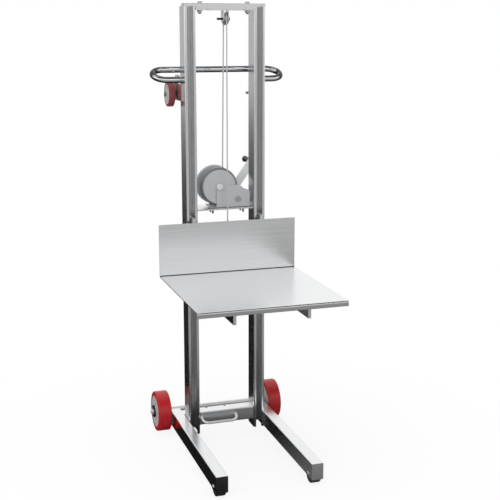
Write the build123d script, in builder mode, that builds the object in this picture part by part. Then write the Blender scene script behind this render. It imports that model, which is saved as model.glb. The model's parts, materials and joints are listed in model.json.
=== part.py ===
# Winch lift truck: twin channel masts on two floor legs, a stainless load tray on a roller
# carriage, and a geared hand winch that hoists the carriage by a rope over a top sheave.
# Units are millimetres. X is across the truck, -Y is the tray side, +Z is up, the floor is Z = 0.
import os
from math import acos, atan2, cos, hypot, pi, radians, sin, sqrt, tan

from build123d import *

os.makedirs("parts", exist_ok=True)

SIDES = ((-1, "left"), (1, "right"))

# Fits and clearances
running_gap = 0.05
loose_gap = 0.3
washer_gap = 0.5

# Masts: lipped channels, slot to the front
mast_gap = 211.0
mast_width = 41.0
mast_depth = 70.0
mast_wall = 3.0
mast_corner = 4.0
mast_slot = 22.0
mast_lip_return = 9.0
mast_bottom_z = 26.0
mast_length = 1557.0

# Load tray: one bent sheet
tray_width = 508.0
tray_depth = 508.0
tray_sheet = 3.0
tray_back_height = 185.0
tray_lip_height = 19.0
tray_bend = 6.0
tray_back_bend = 2.0
tray_standoff = 25.0
tray_top_z = 648.0

# Rear wheels and axle
rear_wheel_radius = 75.5
rear_wheel_width = 50.0
rear_tyre_thickness = 17.0
rear_hub_radius = 22.0
rear_rim_depth = 4.0
rear_tyre_shoulder = 5.0
rear_web_thickness = 44.0
rear_axle_radius = 9.5
axle_setback = 152.0
rear_wheel_side_gap = 5.5
rear_hub_proud = 2.0
axle_saddle_depth = 3.0
axle_washer_thickness = 4.0
axle_washer_radius = 24.0
axle_spacer_radius = 14.0
axle_end = 7.0
axle_chamfer = 1.5
split_pin_radius = 2.0
split_pin_length = 30.0

# Floor legs, front rollers
leg_width = 41.0
leg_height = 58.0
leg_bottom_z = 23.0
leg_wall = 3.0
leg_corner = 3.5
leg_reach = 501.5
leg_end_plate = 3.0
leg_opening = 72.0
front_roller_radius = 32.0
front_roller_width = 32.0
front_roller_gap = 2.0
front_roller_bolt_radius = 6.0
roller_bolt_head_radius = 9.0
roller_bolt_head_height = 4.0
front_roller_crown = 3.0

# Base crossbar and lifting handle
crossbar_size = 50.0
crossbar_wall = 3.0
crossbar_corner = 4.0
crossbar_bottom_z = 59.0
crossbar_setback = 3.0
crossbar_hole_radius = 2.5
crossbar_hole_pitch = 71.0
crossbar_hole_inset = 8.0
lift_handle_side_gap = 1.5
lift_handle_width = 142.0
lift_handle_reach = 40.0
lift_handle_rod = 10.0
lift_handle_bend = 22.0
lift_handle_rise = 31.0
lift_handle_droop = 22.0

# Push handle and upper transport wheels
handle_tube = 22.0
handle_tube_wall = 1.6
handle_width = 494.0
handle_front_setback = 64.0
handle_rear_setback = 146.0
handle_front_z = 1331.0
handle_rise = 32.0
bracket_plate = 5.0
bracket_round = 19.0
bracket_front_setback = 30.0
bracket_top_gap = 4.0
bracket_ear_width = 42.0
top_wheel_radius = 44.5
top_wheel_width = 22.0
top_tyre_thickness = 9.0
top_wheel_setback = 146.0
top_wheel_drop = 54.0
top_wheel_side_gap = 4.0
top_hub_radius = 13.0
top_rim_depth = 3.0
top_tyre_shoulder = 3.0
top_web_thickness = 18.0
top_hub_proud = 3.0
top_bolt_radius = 5.0
top_bolt_head = 16.0
top_bolt_head_height = 6.0
top_bolt_tail = 26.0

# Top cap and sheave
cap_plate = 9.5
cap_wall = 4.0
cap_depth = 38.0
cap_drop = 10.0
cap_edge_round = 2.0
cap_bolt_x = 86.0
cap_tab_length = 34.0
m10_radius = 5.0
m10_head = 16.0
m10_head_height = 6.5
m10_nut_height = 8.0
sheave_plate_width = 126.0
sheave_plate = 4.0
sheave_lug = 4.0
sheave_lug_width = 30.0
sheave_drop = 29.0
sheave_pitch_radius = 19.5
sheave_width = 12.0
sheave_pin_radius = 4.0
sheave_pin_tail = 19.0

# Rope
rope_diameter = 5.0
rope_standoff = 3.5
rope_turns = 6
rope_turn_pitch = 5.2

# Winch
shelf_top_z = 874.0
shelf_plate = 5.0
shelf_setback = 8.0
shelf_margin = 2.0
winch_setback = 25.0
winch_plate = 3.0
winch_depth = 89.0
winch_bend = 2.9
cheek_top_rise = 5.0
cheek_step_run = 6.0
cheek_step_drop = 9.0
winch_chamfer_run = 36.0
winch_chamfer_drop = 20.0
winch_shoulder = 4.0
winch_right_margin = 44.0
winch_toe = 29.0
winch_bolt_left = 20.0
winch_bolt_right = 26.0
winch_bolt_front = 24.0
winch_bolt_pitch = 33.0
winch_bolt_tail = 12.0
m8_radius = 4.0
m8_head = 13.0
m8_head_height = 5.5
m8_nut_height = 6.5
bolt_tail = 5.0
drum_x = -16.0
drum_rise = 76.0
drum_front_flange_radius = 69.0
drum_front_flange = 8.0
drum_back_flange_radius = 66.0
drum_back_flange = 3.0
drum_rim_round = 7.5
drum_flange_gap = 2.5
drum_core_radius = 17.2
drum_shaft_radius = 8.0
drum_boss_radius = 12.0
drum_boss_height = 6.0
drum_gear_radius = 69.4
gear_teeth = 55
pinion_teeth = 11
gear_face = 10.0
gear_pressure_angle = 25.0
gear_addendum_modules = 0.8
gear_dedendum_modules = 1.1
gear_backlash = 0.3
pinion_drop_angle = 34.0
pinion_shaft_radius = 8.0
pinion_extra_face = 1.0
pinion_collar_radius = 11.0
pinion_collar = 3.0

# Load brake and crank
friction_disc = 2.5
friction_disc_radius = 26.0
ratchet_radius = 34.0
ratchet_depth = 5.0
ratchet_teeth = 12
ratchet_face = 5.0
pawl_angle = 165.0
pawl_length = 28.0
pawl_offset = 10.0
pawl_eye_radius = 7.0
pawl_pin_head = 2.5
pawl_pin_radius = 4.0
crank_hub_radius = 14.0
crank_hub_length = 8.0
crank_arm_length = 148.0
crank_arm_width = 30.0
crank_arm_plate = 6.0
crank_lean = 36.0
crank_nut_width = 22.0
crank_nut_height = 9.0
grip_length = 78.0
grip_radius = 12.0
grip_end_round = 4.0
grip_waist = 2.5
grip_spindle_radius = 5.0
grip_spindle_collar = 8.0
grip_spindle_collar_height = 3.0
grip_spindle_head_height = 3.0

# Carriage
fork_plate = 10.0
fork_height = 51.0
fork_tip_gap = 18.0
fork_rear_setback = 55.0
fork_top_z = 848.0
fork_nose = 12.0
guide_roller_radius = 28.5
guide_roller_side_gap = 1.0
guide_axle_radius = 6.0
guide_lower_rise = 33.0
guide_upper_drop = 33.0
guide_roller_chamfer = 1.5
cross_bar = 10.0
cross_bar_height = 40.0
cross_bar_lower_rise = 10.0
cross_bar_upper_rise = 90.0
anchor_socket_radius = 5.0
anchor_socket_length = 36.0
anchor_web = 8.0

# Shared positions
mast_inner_x = mast_gap / 2
mast_x = mast_inner_x + mast_width / 2
mast_outer_x = mast_inner_x + mast_width
mast_top_z = mast_bottom_z + mast_length
truck_front = tray_standoff + tray_depth
truck_rear = axle_setback + rear_wheel_radius
mast_front_y = (truck_front - truck_rear) / 2
mast_back_y = mast_front_y + mast_depth
axle_y = mast_front_y + axle_setback
axle_z = rear_wheel_radius
tray_back_y = mast_front_y - tray_standoff
tray_front_y = tray_back_y - tray_depth
rope_radius = rope_diameter / 2


# A hexagon's corner radius from its width across flats
def hex_radius(across_flats):
    return across_flats / sqrt(3)


# Masts
for side, side_name in SIDES:
    with BuildPart() as mast:
        with BuildSketch(Plane.XY.offset(mast_bottom_z)):
            with Locations((side * mast_x, mast_front_y + mast_depth / 2)):
                RectangleRounded(mast_width, mast_depth, mast_corner)
                RectangleRounded(
                    mast_width - 2 * mast_wall,
                    mast_depth - 2 * mast_wall,
                    mast_corner - mast_wall,
                    mode=Mode.SUBTRACT,
                )
            with Locations((side * mast_x, mast_front_y + mast_lip_return / 2)):
                Rectangle(mast_slot + 2 * mast_wall, mast_lip_return)
                Rectangle(mast_slot, mast_lip_return, mode=Mode.SUBTRACT)
        extrude(amount=mast_length)
    mast.part.label = f"mast_{side_name}"
    export_step(mast.part, f"parts/mast_{side_name}.step")

# Top cap: a bar that lies over both mast tops, with a flange down each edge between the masts
cap_mid_y = mast_front_y + cap_depth / 2
cap_bottom_z = mast_top_z - cap_drop
with BuildPart() as top_cap:
    with BuildSketch(Plane.XY.offset(mast_top_z)):
        with Locations((0, cap_mid_y)):
            Rectangle(2 * mast_outer_x, cap_depth)
    extrude(amount=cap_plate)
    with BuildSketch(Plane.XY.offset(cap_bottom_z)):
        with Locations((0, cap_mid_y)):
            Rectangle(mast_gap, cap_depth)
            Rectangle(mast_gap, cap_depth - 2 * cap_wall, mode=Mode.SUBTRACT)
    extrude(amount=cap_drop)
    top_edges = top_cap.faces().sort_by(Axis.Z)[-1].edges().filter_by(Axis.X)
    fillet(top_edges, radius=cap_edge_round)
    with Locations((0, cap_mid_y, mast_top_z + cap_plate)):
        with GridLocations(2 * cap_bolt_x, 0, 2, 1):
            Hole(m10_radius + running_gap, depth=cap_plate)
top_cap.part.label = "top_cap"
export_step(top_cap.part, "parts/top_cap.step")

# Tabs welded to the masts' inner faces, which the cap is bolted to
cap_tab_bottom_z = cap_bottom_z - cap_wall
with BuildPart() as cap_tabs:
    for side, side_name in SIDES:
        with BuildSketch(Plane.XY.offset(cap_tab_bottom_z)):
            with Locations((side * (mast_inner_x - cap_tab_length / 2), cap_mid_y)):
                Rectangle(cap_tab_length, cap_depth)
            with Locations((side * cap_bolt_x, cap_mid_y)):
                Circle(m10_radius + running_gap, mode=Mode.SUBTRACT)
        extrude(amount=cap_wall)
cap_tabs.part.label = "cap_tabs"
export_step(cap_tabs.part, "parts/cap_tabs.step")

# Bolts with their heads on the cap and nuts under the tabs
with BuildPart() as cap_bolts:
    for side, side_name in SIDES:
        with BuildSketch(Plane.XY.offset(cap_tab_bottom_z - m10_nut_height - bolt_tail)):
            with Locations((side * cap_bolt_x, cap_mid_y)):
                Circle(m10_radius)
        extrude(amount=bolt_tail + m10_nut_height + cap_wall + cap_drop + cap_plate)
        with BuildSketch(Plane.XY.offset(mast_top_z + cap_plate)):
            with Locations((side * cap_bolt_x, cap_mid_y)):
                RegularPolygon(hex_radius(m10_head), 6)
        extrude(amount=m10_head_height)
        with BuildSketch(Plane.XY.offset(cap_tab_bottom_z - m10_nut_height)):
            with Locations((side * cap_bolt_x, cap_mid_y)):
                RegularPolygon(hex_radius(m10_head), 6)
        extrude(amount=m10_nut_height)
cap_bolts.part.label = "cap_bolts"
export_step(cap_bolts.part, "parts/cap_bolts.step")

# Sheave bracket under the cap, its sheave and pin
rope_pitch_radius = drum_core_radius + loose_gap + rope_radius
rope_x = drum_x + rope_pitch_radius
rope_front_y = mast_front_y - rope_standoff
sheave_y = rope_front_y + sheave_pitch_radius
sheave_plate_bottom_z = cap_bottom_z - sheave_plate
sheave_z = sheave_plate_bottom_z - sheave_drop
sheave_half_gap = sheave_width / 2 + washer_gap
with BuildPart() as sheave_bracket:
    with BuildSketch(Plane.XY.offset(sheave_plate_bottom_z)):
        with Locations((rope_x, cap_mid_y)):
            Rectangle(sheave_plate_width, cap_depth)
    extrude(amount=sheave_plate)
    for side, side_name in SIDES:
        lug_x = rope_x + side * (sheave_half_gap + sheave_lug / 2)
        with BuildSketch(Plane.YZ.offset(lug_x - sheave_lug / 2)):
            with Locations((sheave_y, sheave_plate_bottom_z - sheave_drop / 2)):
                Rectangle(sheave_lug_width, sheave_drop)
            with Locations((sheave_y, sheave_z)):
                Circle(sheave_lug_width / 2)
                Circle(sheave_pin_radius, mode=Mode.SUBTRACT)
        extrude(amount=sheave_lug)
sheave_bracket.part.label = "sheave_bracket"
export_step(sheave_bracket.part, "parts/sheave_bracket.step")

groove_radius = rope_radius + loose_gap
sheave_rim_radius = sheave_pitch_radius + rope_radius
with BuildPart() as sheave:
    with BuildSketch(Plane((0, sheave_y, sheave_z), x_dir=(1, 0, 0), z_dir=(0, -1, 0))):
        with Locations((rope_x, sheave_rim_radius / 2)):
            Rectangle(sheave_width, sheave_rim_radius)
        with Locations((rope_x, sheave_pitch_radius)):
            Circle(groove_radius, mode=Mode.SUBTRACT)
        with Locations((rope_x, sheave_pitch_radius + rope_radius)):
            Rectangle(2 * groove_radius, 2 * rope_radius, mode=Mode.SUBTRACT)
        with Locations((rope_x, 0)):
            Rectangle(sheave_width, 2 * (sheave_pin_radius + running_gap), mode=Mode.SUBTRACT)
    revolve(axis=Axis((0, sheave_y, sheave_z), (1, 0, 0)))
sheave.part.label = "sheave"
export_step(sheave.part, "parts/sheave.step")

pin_outer_x = sheave_half_gap + sheave_lug
with BuildPart() as sheave_pin:
    with BuildSketch(Plane.YZ.offset(rope_x - pin_outer_x - sheave_pin_tail)):
        with Locations((sheave_y, sheave_z)):
            Circle(sheave_pin_radius)
    extrude(amount=sheave_pin_tail + 2 * pin_outer_x)
    with BuildSketch(Plane.YZ.offset(rope_x + pin_outer_x)):
        with Locations((sheave_y, sheave_z)):
            RegularPolygon(hex_radius(m8_head), 6)
    extrude(amount=m8_head_height)
sheave_pin.part.label = "sheave_pin"
export_step(sheave_pin.part, "parts/sheave_pin.step")

# Winch positions along its drum axis, from the front plate to the back plate
winch_front_y = mast_front_y + winch_setback
winch_back_y = winch_front_y + winch_depth
drum_z = shelf_top_z + drum_rise
gear_module = 2 * drum_gear_radius / gear_teeth
gear_centre_distance = drum_gear_radius + gear_module * pinion_teeth / 2
pinion_x = drum_x + gear_centre_distance * cos(radians(pinion_drop_angle))
pinion_z = drum_z - gear_centre_distance * sin(radians(pinion_drop_angle))
gear_back_y = winch_back_y - winch_plate - drum_flange_gap - pinion_extra_face
gear_front_y = gear_back_y - gear_face
drum_front_y = winch_front_y + winch_plate + drum_flange_gap
barrel_front_y = drum_front_y + drum_front_flange
barrel_back_y = gear_front_y - drum_back_flange

# Shelf welded between the masts
shelf_front_y = mast_front_y + shelf_setback
shelf_depth = winch_back_y + shelf_margin - shelf_front_y
bolt_xs = (drum_x - winch_bolt_left, pinion_x + winch_bolt_right)
bolt_ys = (winch_front_y + winch_bolt_front, winch_front_y + winch_bolt_front + winch_bolt_pitch)
bolt_places = [(x, y) for x in bolt_xs for y in bolt_ys]
with BuildPart() as winch_shelf:
    with BuildSketch(Plane.XY.offset(shelf_top_z - shelf_plate)):
        with Locations((0, shelf_front_y + shelf_depth / 2)):
            Rectangle(mast_gap, shelf_depth)
        with Locations(*bolt_places):
            Circle(m8_radius + running_gap, mode=Mode.SUBTRACT)
    extrude(amount=shelf_plate)
winch_shelf.part.label = "winch_shelf"
export_step(winch_shelf.part, "parts/winch_shelf.step")

# Winch frame: one plate folded into a U, with both shafts carried in its cheeks
cheek_left_x = drum_x - drum_boss_radius
cheek_right_x = pinion_x + winch_right_margin
cheek_shoulder_x = cheek_right_x - winch_chamfer_run - winch_shoulder
cheek_top_z = drum_z + cheek_top_rise
arch_end_x = drum_x + sqrt(drum_boss_radius**2 - cheek_top_rise**2)
base_left_x = drum_x - winch_toe
with BuildPart() as winch_frame:
    with BuildSketch(Plane.XY.offset(shelf_top_z)):
        with Locations(((base_left_x + cheek_right_x) / 2, winch_front_y + winch_depth / 2)):
            Rectangle(cheek_right_x - base_left_x, winch_depth)
        with Locations(*bolt_places):
            Circle(m8_radius + running_gap, mode=Mode.SUBTRACT)
    extrude(amount=winch_plate)
    for cheek_back_y in (winch_front_y + winch_plate, winch_back_y):
        with BuildSketch(Plane.XZ.offset(-cheek_back_y)):
            with BuildLine():
                Polyline(
                    (cheek_left_x, shelf_top_z),
                    (cheek_left_x, drum_z),
                )
                ThreePointArc(
                    (cheek_left_x, drum_z),
                    (drum_x, drum_z + drum_boss_radius),
                    (arch_end_x, cheek_top_z),
                )
                Polyline(
                    (arch_end_x, cheek_top_z),
                    (cheek_shoulder_x, cheek_top_z),
                    (cheek_shoulder_x + cheek_step_run, cheek_top_z - cheek_step_drop),
                    (cheek_right_x - winch_shoulder, cheek_top_z - winch_chamfer_drop),
                    (cheek_right_x, cheek_top_z - winch_chamfer_drop - winch_shoulder),
                    (cheek_right_x, shelf_top_z),
                    (cheek_left_x, shelf_top_z),
                )
            make_face()
            with Locations((drum_x, drum_z)):
                Circle(drum_shaft_radius + running_gap, mode=Mode.SUBTRACT)
            with Locations((pinion_x, pinion_z)):
                Circle(pinion_shaft_radius + running_gap, mode=Mode.SUBTRACT)
        extrude(amount=winch_plate)
    fold_edges = winch_frame.faces().sort_by(Axis.Z)[0].edges().filter_by(Axis.X)
    fillet(fold_edges, radius=winch_bend)
winch_frame.part.label = "winch_frame"
export_step(winch_frame.part, "parts/winch_frame.step")

with BuildPart() as winch_bolts:
    for bolt_x, bolt_y in bolt_places:
        bolt_foot_z = shelf_top_z - shelf_plate - m8_nut_height - winch_bolt_tail
        with BuildSketch(Plane.XY.offset(bolt_foot_z)):
            with Locations((bolt_x, bolt_y)):
                Circle(m8_radius)
        extrude(amount=winch_bolt_tail + m8_nut_height + shelf_plate + winch_plate)
        with BuildSketch(Plane.XY.offset(shelf_top_z + winch_plate)):
            with Locations((bolt_x, bolt_y)):
                RegularPolygon(hex_radius(m8_head), 6)
        extrude(amount=m8_head_height)
        with BuildSketch(Plane.XY.offset(bolt_foot_z + winch_bolt_tail)):
            with Locations((bolt_x, bolt_y)):
                RegularPolygon(hex_radius(m8_head), 6)
        extrude(amount=m8_nut_height)
winch_bolts.part.label = "winch_bolts"
export_step(winch_bolts.part, "parts/winch_bolts.step")

# Drum shaft: a through bolt with a round boss at the front and a nut behind
with BuildPart() as drum_shaft:
    with BuildSketch(Plane.XZ.offset(-(winch_back_y + m10_nut_height))):
        with Locations((drum_x, drum_z)):
            Circle(drum_shaft_radius)
    extrude(amount=winch_depth + m10_nut_height)
    with BuildSketch(Plane.XZ.offset(-winch_front_y)):
        with Locations((drum_x, drum_z)):
            Circle(drum_boss_radius)
    extrude(amount=drum_boss_height)
    boss_rim = drum_shaft.faces().sort_by(Axis.Y)[0].edges()
    fillet(boss_rim, radius=drum_boss_height / 2)
    with BuildSketch(Plane.XZ.offset(-(winch_back_y + m10_nut_height))):
        with Locations((drum_x, drum_z)):
            RegularPolygon(drum_boss_radius, 6)
    extrude(amount=m10_nut_height)
drum_shaft.part.label = "drum_shaft"
export_step(drum_shaft.part, "parts/drum_shaft.step")

# Drum: barrel between a thick front flange with a rounded rim and a thin back one
drum_bore_radius = drum_shaft_radius + running_gap
with BuildPart() as drum:
    with BuildSketch(Plane.XZ.offset(-gear_front_y)):
        with Locations((drum_x, drum_z)):
            Circle(drum_core_radius)
            Circle(drum_bore_radius, mode=Mode.SUBTRACT)
    extrude(amount=gear_front_y - drum_front_y)
    for flange_back_y, flange, flange_radius in (
        (barrel_front_y, drum_front_flange, drum_front_flange_radius),
        (gear_front_y, drum_back_flange, drum_back_flange_radius),
    ):
        with BuildSketch(Plane.XZ.offset(-flange_back_y)):
            with Locations((drum_x, drum_z)):
                Circle(flange_radius)
                Circle(drum_bore_radius, mode=Mode.SUBTRACT)
        extrude(amount=flange)
    front_rim = drum.faces().sort_by(Axis.Y)[0].edges().sort_by(SortBy.RADIUS)[-1]
    fillet(front_rim, radius=drum_rim_round)
drum.part.label = "drum"
export_step(drum.part, "parts/drum.step")


# Spur gear outline with involute flanks, one tooth centred on the given direction
def point_at(radius, angle):
    return (radius * cos(angle), radius * sin(angle))


def gear_outline(teeth, first_tooth_angle):
    pitch_radius = gear_module * teeth / 2
    base_radius = pitch_radius * cos(radians(gear_pressure_angle))
    tip_radius = pitch_radius + gear_addendum_modules * gear_module
    root_radius = pitch_radius - gear_dedendum_modules * gear_module
    flank_start = max(root_radius, base_radius)

    def involute(radius):
        pressure = acos(min(1.0, base_radius / radius))
        return tan(pressure) - pressure

    half_tooth = (pi * gear_module / 2 - gear_backlash / 2) / pitch_radius / 2 + involute(pitch_radius)
    middle_radius = (flank_start + tip_radius) / 2
    for tooth in range(teeth):
        centre = first_tooth_angle + 2 * pi * tooth / teeth
        next_root = centre + 2 * pi / teeth - half_tooth + involute(flank_start)
        low = half_tooth - involute(flank_start)
        mid = half_tooth - involute(middle_radius)
        top = half_tooth - involute(tip_radius)
        if root_radius < flank_start:
            Line(point_at(root_radius, centre - low), point_at(flank_start, centre - low))
        ThreePointArc(
            point_at(flank_start, centre - low),
            point_at(middle_radius, centre - mid),
            point_at(tip_radius, centre - top),
        )
        Line(point_at(tip_radius, centre - top), point_at(tip_radius, centre + top))
        ThreePointArc(
            point_at(tip_radius, centre + top),
            point_at(middle_radius, centre + mid),
            point_at(flank_start, centre + low),
        )
        if root_radius < flank_start:
            Line(point_at(flank_start, centre + low), point_at(root_radius, centre + low))
        Line(point_at(root_radius, centre + low), point_at(root_radius, next_root))


# Drum gear, fixed to the back flange; one of its teeth points at the pinion
mesh_angle = radians(-pinion_drop_angle)
with BuildPart() as drum_gear:
    with BuildSketch(Plane((drum_x, gear_back_y, drum_z), x_dir=(1, 0, 0), z_dir=(0, -1, 0))):
        with BuildLine():
            gear_outline(gear_teeth, mesh_angle)
        make_face()
        Circle(drum_bore_radius, mode=Mode.SUBTRACT)
    extrude(amount=gear_face)
drum_gear.part.label = "drum_gear"
export_step(drum_gear.part, "parts/drum_gear.step")

# Pinion and its shaft in one piece; a gap of the pinion faces the drum gear's tooth
crank_front_y = winch_back_y + 2 * friction_disc + ratchet_face + 4 * loose_gap
arm_front_y = crank_front_y + crank_hub_length
arm_back_y = arm_front_y + crank_arm_plate
shaft_end_y = arm_back_y + crank_nut_height + loose_gap
pinion_front_y = gear_front_y - pinion_extra_face
pinion_back_y = gear_back_y + pinion_extra_face
with BuildPart() as pinion_shaft:
    with BuildSketch(Plane((pinion_x, pinion_back_y, pinion_z), x_dir=(1, 0, 0), z_dir=(0, -1, 0))):
        with BuildLine():
            gear_outline(pinion_teeth, mesh_angle + pi + pi / pinion_teeth)
        make_face()
    extrude(amount=pinion_back_y - pinion_front_y)
    with BuildSketch(Plane.XZ.offset(-shaft_end_y)):
        with Locations((pinion_x, pinion_z)):
            Circle(pinion_shaft_radius)
    extrude(amount=shaft_end_y - winch_front_y + pinion_collar)
    with BuildSketch(Plane.XZ.offset(-(winch_front_y - loose_gap))):
        with Locations((pinion_x, pinion_z)):
            Circle(pinion_collar_radius)
    extrude(amount=pinion_collar)
pinion_shaft.part.label = "pinion_shaft"
export_step(pinion_shaft.part, "parts/pinion_shaft.step")

# Rope turns on the barrel as closed rings on one thin sleeve, the run up to the sheave and over
# it, and the run down to the carriage
turn_back_y = barrel_back_y - loose_gap - rope_radius
with BuildPart() as rope_winding:
    with BuildSketch(Plane.XY.offset(drum_z)):
        for turn in range(rope_turns):
            with Locations((drum_x + rope_pitch_radius, turn_back_y - turn * rope_turn_pitch)):
                Circle(rope_radius)
        winding_length = (rope_turns - 1) * rope_turn_pitch
        with Locations((drum_x + rope_pitch_radius - loose_gap / 2, turn_back_y - winding_length / 2)):
            Rectangle(rope_radius, winding_length)
    revolve(axis=Axis((drum_x, 0, drum_z), (0, 1, 0)))
rope_winding.part.label = "rope_winding"
export_step(rope_winding.part, "parts/rope_winding.step")

rope_entry_y = turn_back_y - rope_turns * rope_turn_pitch
entry_offset_y = rope_entry_y - sheave_y
entry_offset_z = drum_z - sheave_z
entry_distance = hypot(entry_offset_y, entry_offset_z)
leave_angle = atan2(entry_offset_z, entry_offset_y) + acos(sheave_pitch_radius / entry_distance)
leave_y = sheave_y + sheave_pitch_radius * cos(leave_angle)
leave_z = sheave_z + sheave_pitch_radius * sin(leave_angle)
with BuildPart() as rope_rear_run:
    with BuildLine():
        ThreePointArc(
            (rope_x, rope_front_y, sheave_z),
            (rope_x, sheave_y, sheave_z + sheave_pitch_radius),
            (rope_x, leave_y, leave_z),
        )
        Line((rope_x, leave_y, leave_z), (rope_x, rope_entry_y, drum_z))
    with BuildSketch(Plane((rope_x, rope_front_y, sheave_z), x_dir=(1, 0, 0), z_dir=(0, 0, 1))):
        Circle(rope_radius)
    sweep()
rope_rear_run.part.label = "rope_rear_run"
export_step(rope_rear_run.part, "parts/rope_rear_run.step")

cross_bar_upper_z = tray_top_z + cross_bar_upper_rise
anchor_bottom_z = cross_bar_upper_z
anchor_top_z = anchor_bottom_z + anchor_socket_length
with BuildPart() as rope_front_run:
    with BuildSketch(Plane.XY.offset(anchor_top_z)):
        with Locations((rope_x, rope_front_y)):
            Circle(rope_radius)
    extrude(amount=sheave_z - anchor_top_z)
rope_front_run.part.label = "rope_front_run"
export_step(rope_front_run.part, "parts/rope_front_run.step")

# Load brake: two friction discs with the ratchet wheel between them, and its pawl
disc_front_y = winch_back_y + loose_gap
ratchet_front_y = disc_front_y + friction_disc + loose_gap
ratchet_back_y = ratchet_front_y + ratchet_face
with BuildPart() as friction_discs:
    for disc_back_y in (disc_front_y + friction_disc, ratchet_back_y + loose_gap + friction_disc):
        with BuildSketch(Plane.XZ.offset(-disc_back_y)):
            with Locations((pinion_x, pinion_z)):
                Circle(friction_disc_radius)
                Circle(pinion_shaft_radius + running_gap, mode=Mode.SUBTRACT)
        extrude(amount=friction_disc)
friction_discs.part.label = "friction_discs"
export_step(friction_discs.part, "parts/friction_discs.step")

# Each ratchet tooth has one steep face, square to the pawl's line of thrust, and one long slope
ratchet_root_radius = ratchet_radius - ratchet_depth
pawl_lean = atan2(pawl_offset, pawl_length)
face_run = ratchet_depth * tan(pawl_lean)
pawl_radians = radians(pawl_angle)
with BuildPart() as ratchet_wheel:
    with BuildSketch(Plane((pinion_x, ratchet_back_y, pinion_z), x_dir=(1, 0, 0), z_dir=(0, -1, 0))):
        with BuildLine():
            for tooth in range(ratchet_teeth):
                foot_angle = pawl_radians + 2 * pi * tooth / ratchet_teeth
                tip_angle = foot_angle + face_run / ratchet_radius
                next_angle = foot_angle + 2 * pi / ratchet_teeth
                Line(point_at(ratchet_root_radius, foot_angle), point_at(ratchet_radius, tip_angle))
                Line(point_at(ratchet_radius, tip_angle), point_at(ratchet_root_radius, next_angle))
        make_face()
        Circle(pinion_shaft_radius + running_gap, mode=Mode.SUBTRACT)
    extrude(amount=ratchet_face)
ratchet_wheel.part.label = "ratchet_wheel"
export_step(ratchet_wheel.part, "parts/ratchet_wheel.step")

# Pawl: its plane's X runs along the wheel's rim, away from the tooth, and its Y runs outward
pawl_along = Vector(sin(pawl_radians), 0, -cos(pawl_radians))
pawl_outward = Vector(cos(pawl_radians), 0, sin(pawl_radians))
pawl_pivot_out = ratchet_root_radius + ratchet_depth / 2 + pawl_offset
wheel_centre = Vector(pinion_x, 0, pinion_z)
pawl_pivot = wheel_centre + pawl_along * pawl_length + pawl_outward * pawl_pivot_out
with BuildPart() as pawl:
    with BuildSketch(Plane((pinion_x, ratchet_back_y, pinion_z), x_dir=pawl_along, z_dir=(0, -1, 0))):
        with BuildLine():
            Polyline(
                (loose_gap, ratchet_root_radius + loose_gap),
                (loose_gap - face_run, ratchet_radius + loose_gap),
                (pawl_length, pawl_pivot_out + pawl_eye_radius),
                (pawl_length, pawl_pivot_out - pawl_eye_radius),
                close=True,
            )
        make_face()
        with Locations((pawl_length, pawl_pivot_out)):
            Circle(pawl_eye_radius)
            Circle(pawl_pin_radius + running_gap, mode=Mode.SUBTRACT)
    extrude(amount=ratchet_face)
pawl.part.label = "pawl"
export_step(pawl.part, "parts/pawl.step")

with BuildPart() as pawl_pin:
    with BuildSketch(Plane.XZ.offset(-(ratchet_back_y + loose_gap))):
        with Locations((pawl_pivot.X, pawl_pivot.Z)):
            Circle(pawl_pin_radius)
    extrude(amount=ratchet_back_y + loose_gap - winch_back_y)
    with BuildSketch(Plane.XZ.offset(-(ratchet_back_y + loose_gap + pawl_pin_head))):
        with Locations((pawl_pivot.X, pawl_pivot.Z)):
            Circle(pawl_eye_radius)
    extrude(amount=pawl_pin_head)
    with BuildSketch(Plane.XZ.offset(-(ratchet_front_y - loose_gap))):
        with Locations((pawl_pivot.X, pawl_pivot.Z)):
            Circle(pawl_eye_radius)
    extrude(amount=ratchet_front_y - loose_gap - winch_back_y)
pawl_pin.part.label = "pawl_pin"
export_step(pawl_pin.part, "parts/pawl_pin.step")

# Crank: hub and flat arm, leaning from upright, with the grip on a spindle at its tip
crank_radians = radians(crank_lean)
crank_along = Vector(sin(crank_radians), 0, cos(crank_radians))
grip_x = pinion_x + crank_arm_length * crank_along.X
grip_z = pinion_z + crank_arm_length * crank_along.Z
with BuildPart() as crank_arm:
    with BuildSketch(Plane((pinion_x, arm_back_y, pinion_z), x_dir=crank_along, z_dir=(0, -1, 0))):
        with Locations((crank_arm_length / 2, 0)):
            SlotCenterToCenter(crank_arm_length, crank_arm_width)
        Circle(pinion_shaft_radius, mode=Mode.SUBTRACT)
        with Locations((crank_arm_length, 0)):
            Circle(grip_spindle_radius, mode=Mode.SUBTRACT)
    extrude(amount=crank_arm_plate)
    with BuildSketch(Plane.XZ.offset(-arm_front_y)):
        with Locations((pinion_x, pinion_z)):
            Circle(crank_hub_radius)
            Circle(pinion_shaft_radius, mode=Mode.SUBTRACT)
    extrude(amount=crank_hub_length - loose_gap)
crank_arm.part.label = "crank_arm"
export_step(crank_arm.part, "parts/crank_arm.step")

with BuildPart() as crank_nut:
    with BuildSketch(Plane.XZ.offset(-(arm_back_y + crank_nut_height))):
        with Locations((pinion_x, pinion_z)):
            RegularPolygon(hex_radius(crank_nut_width), 6)
            Circle(pinion_shaft_radius, mode=Mode.SUBTRACT)
    extrude(amount=crank_nut_height)
crank_nut.part.label = "crank_nut"
export_step(crank_nut.part, "parts/crank_nut.step")

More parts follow.
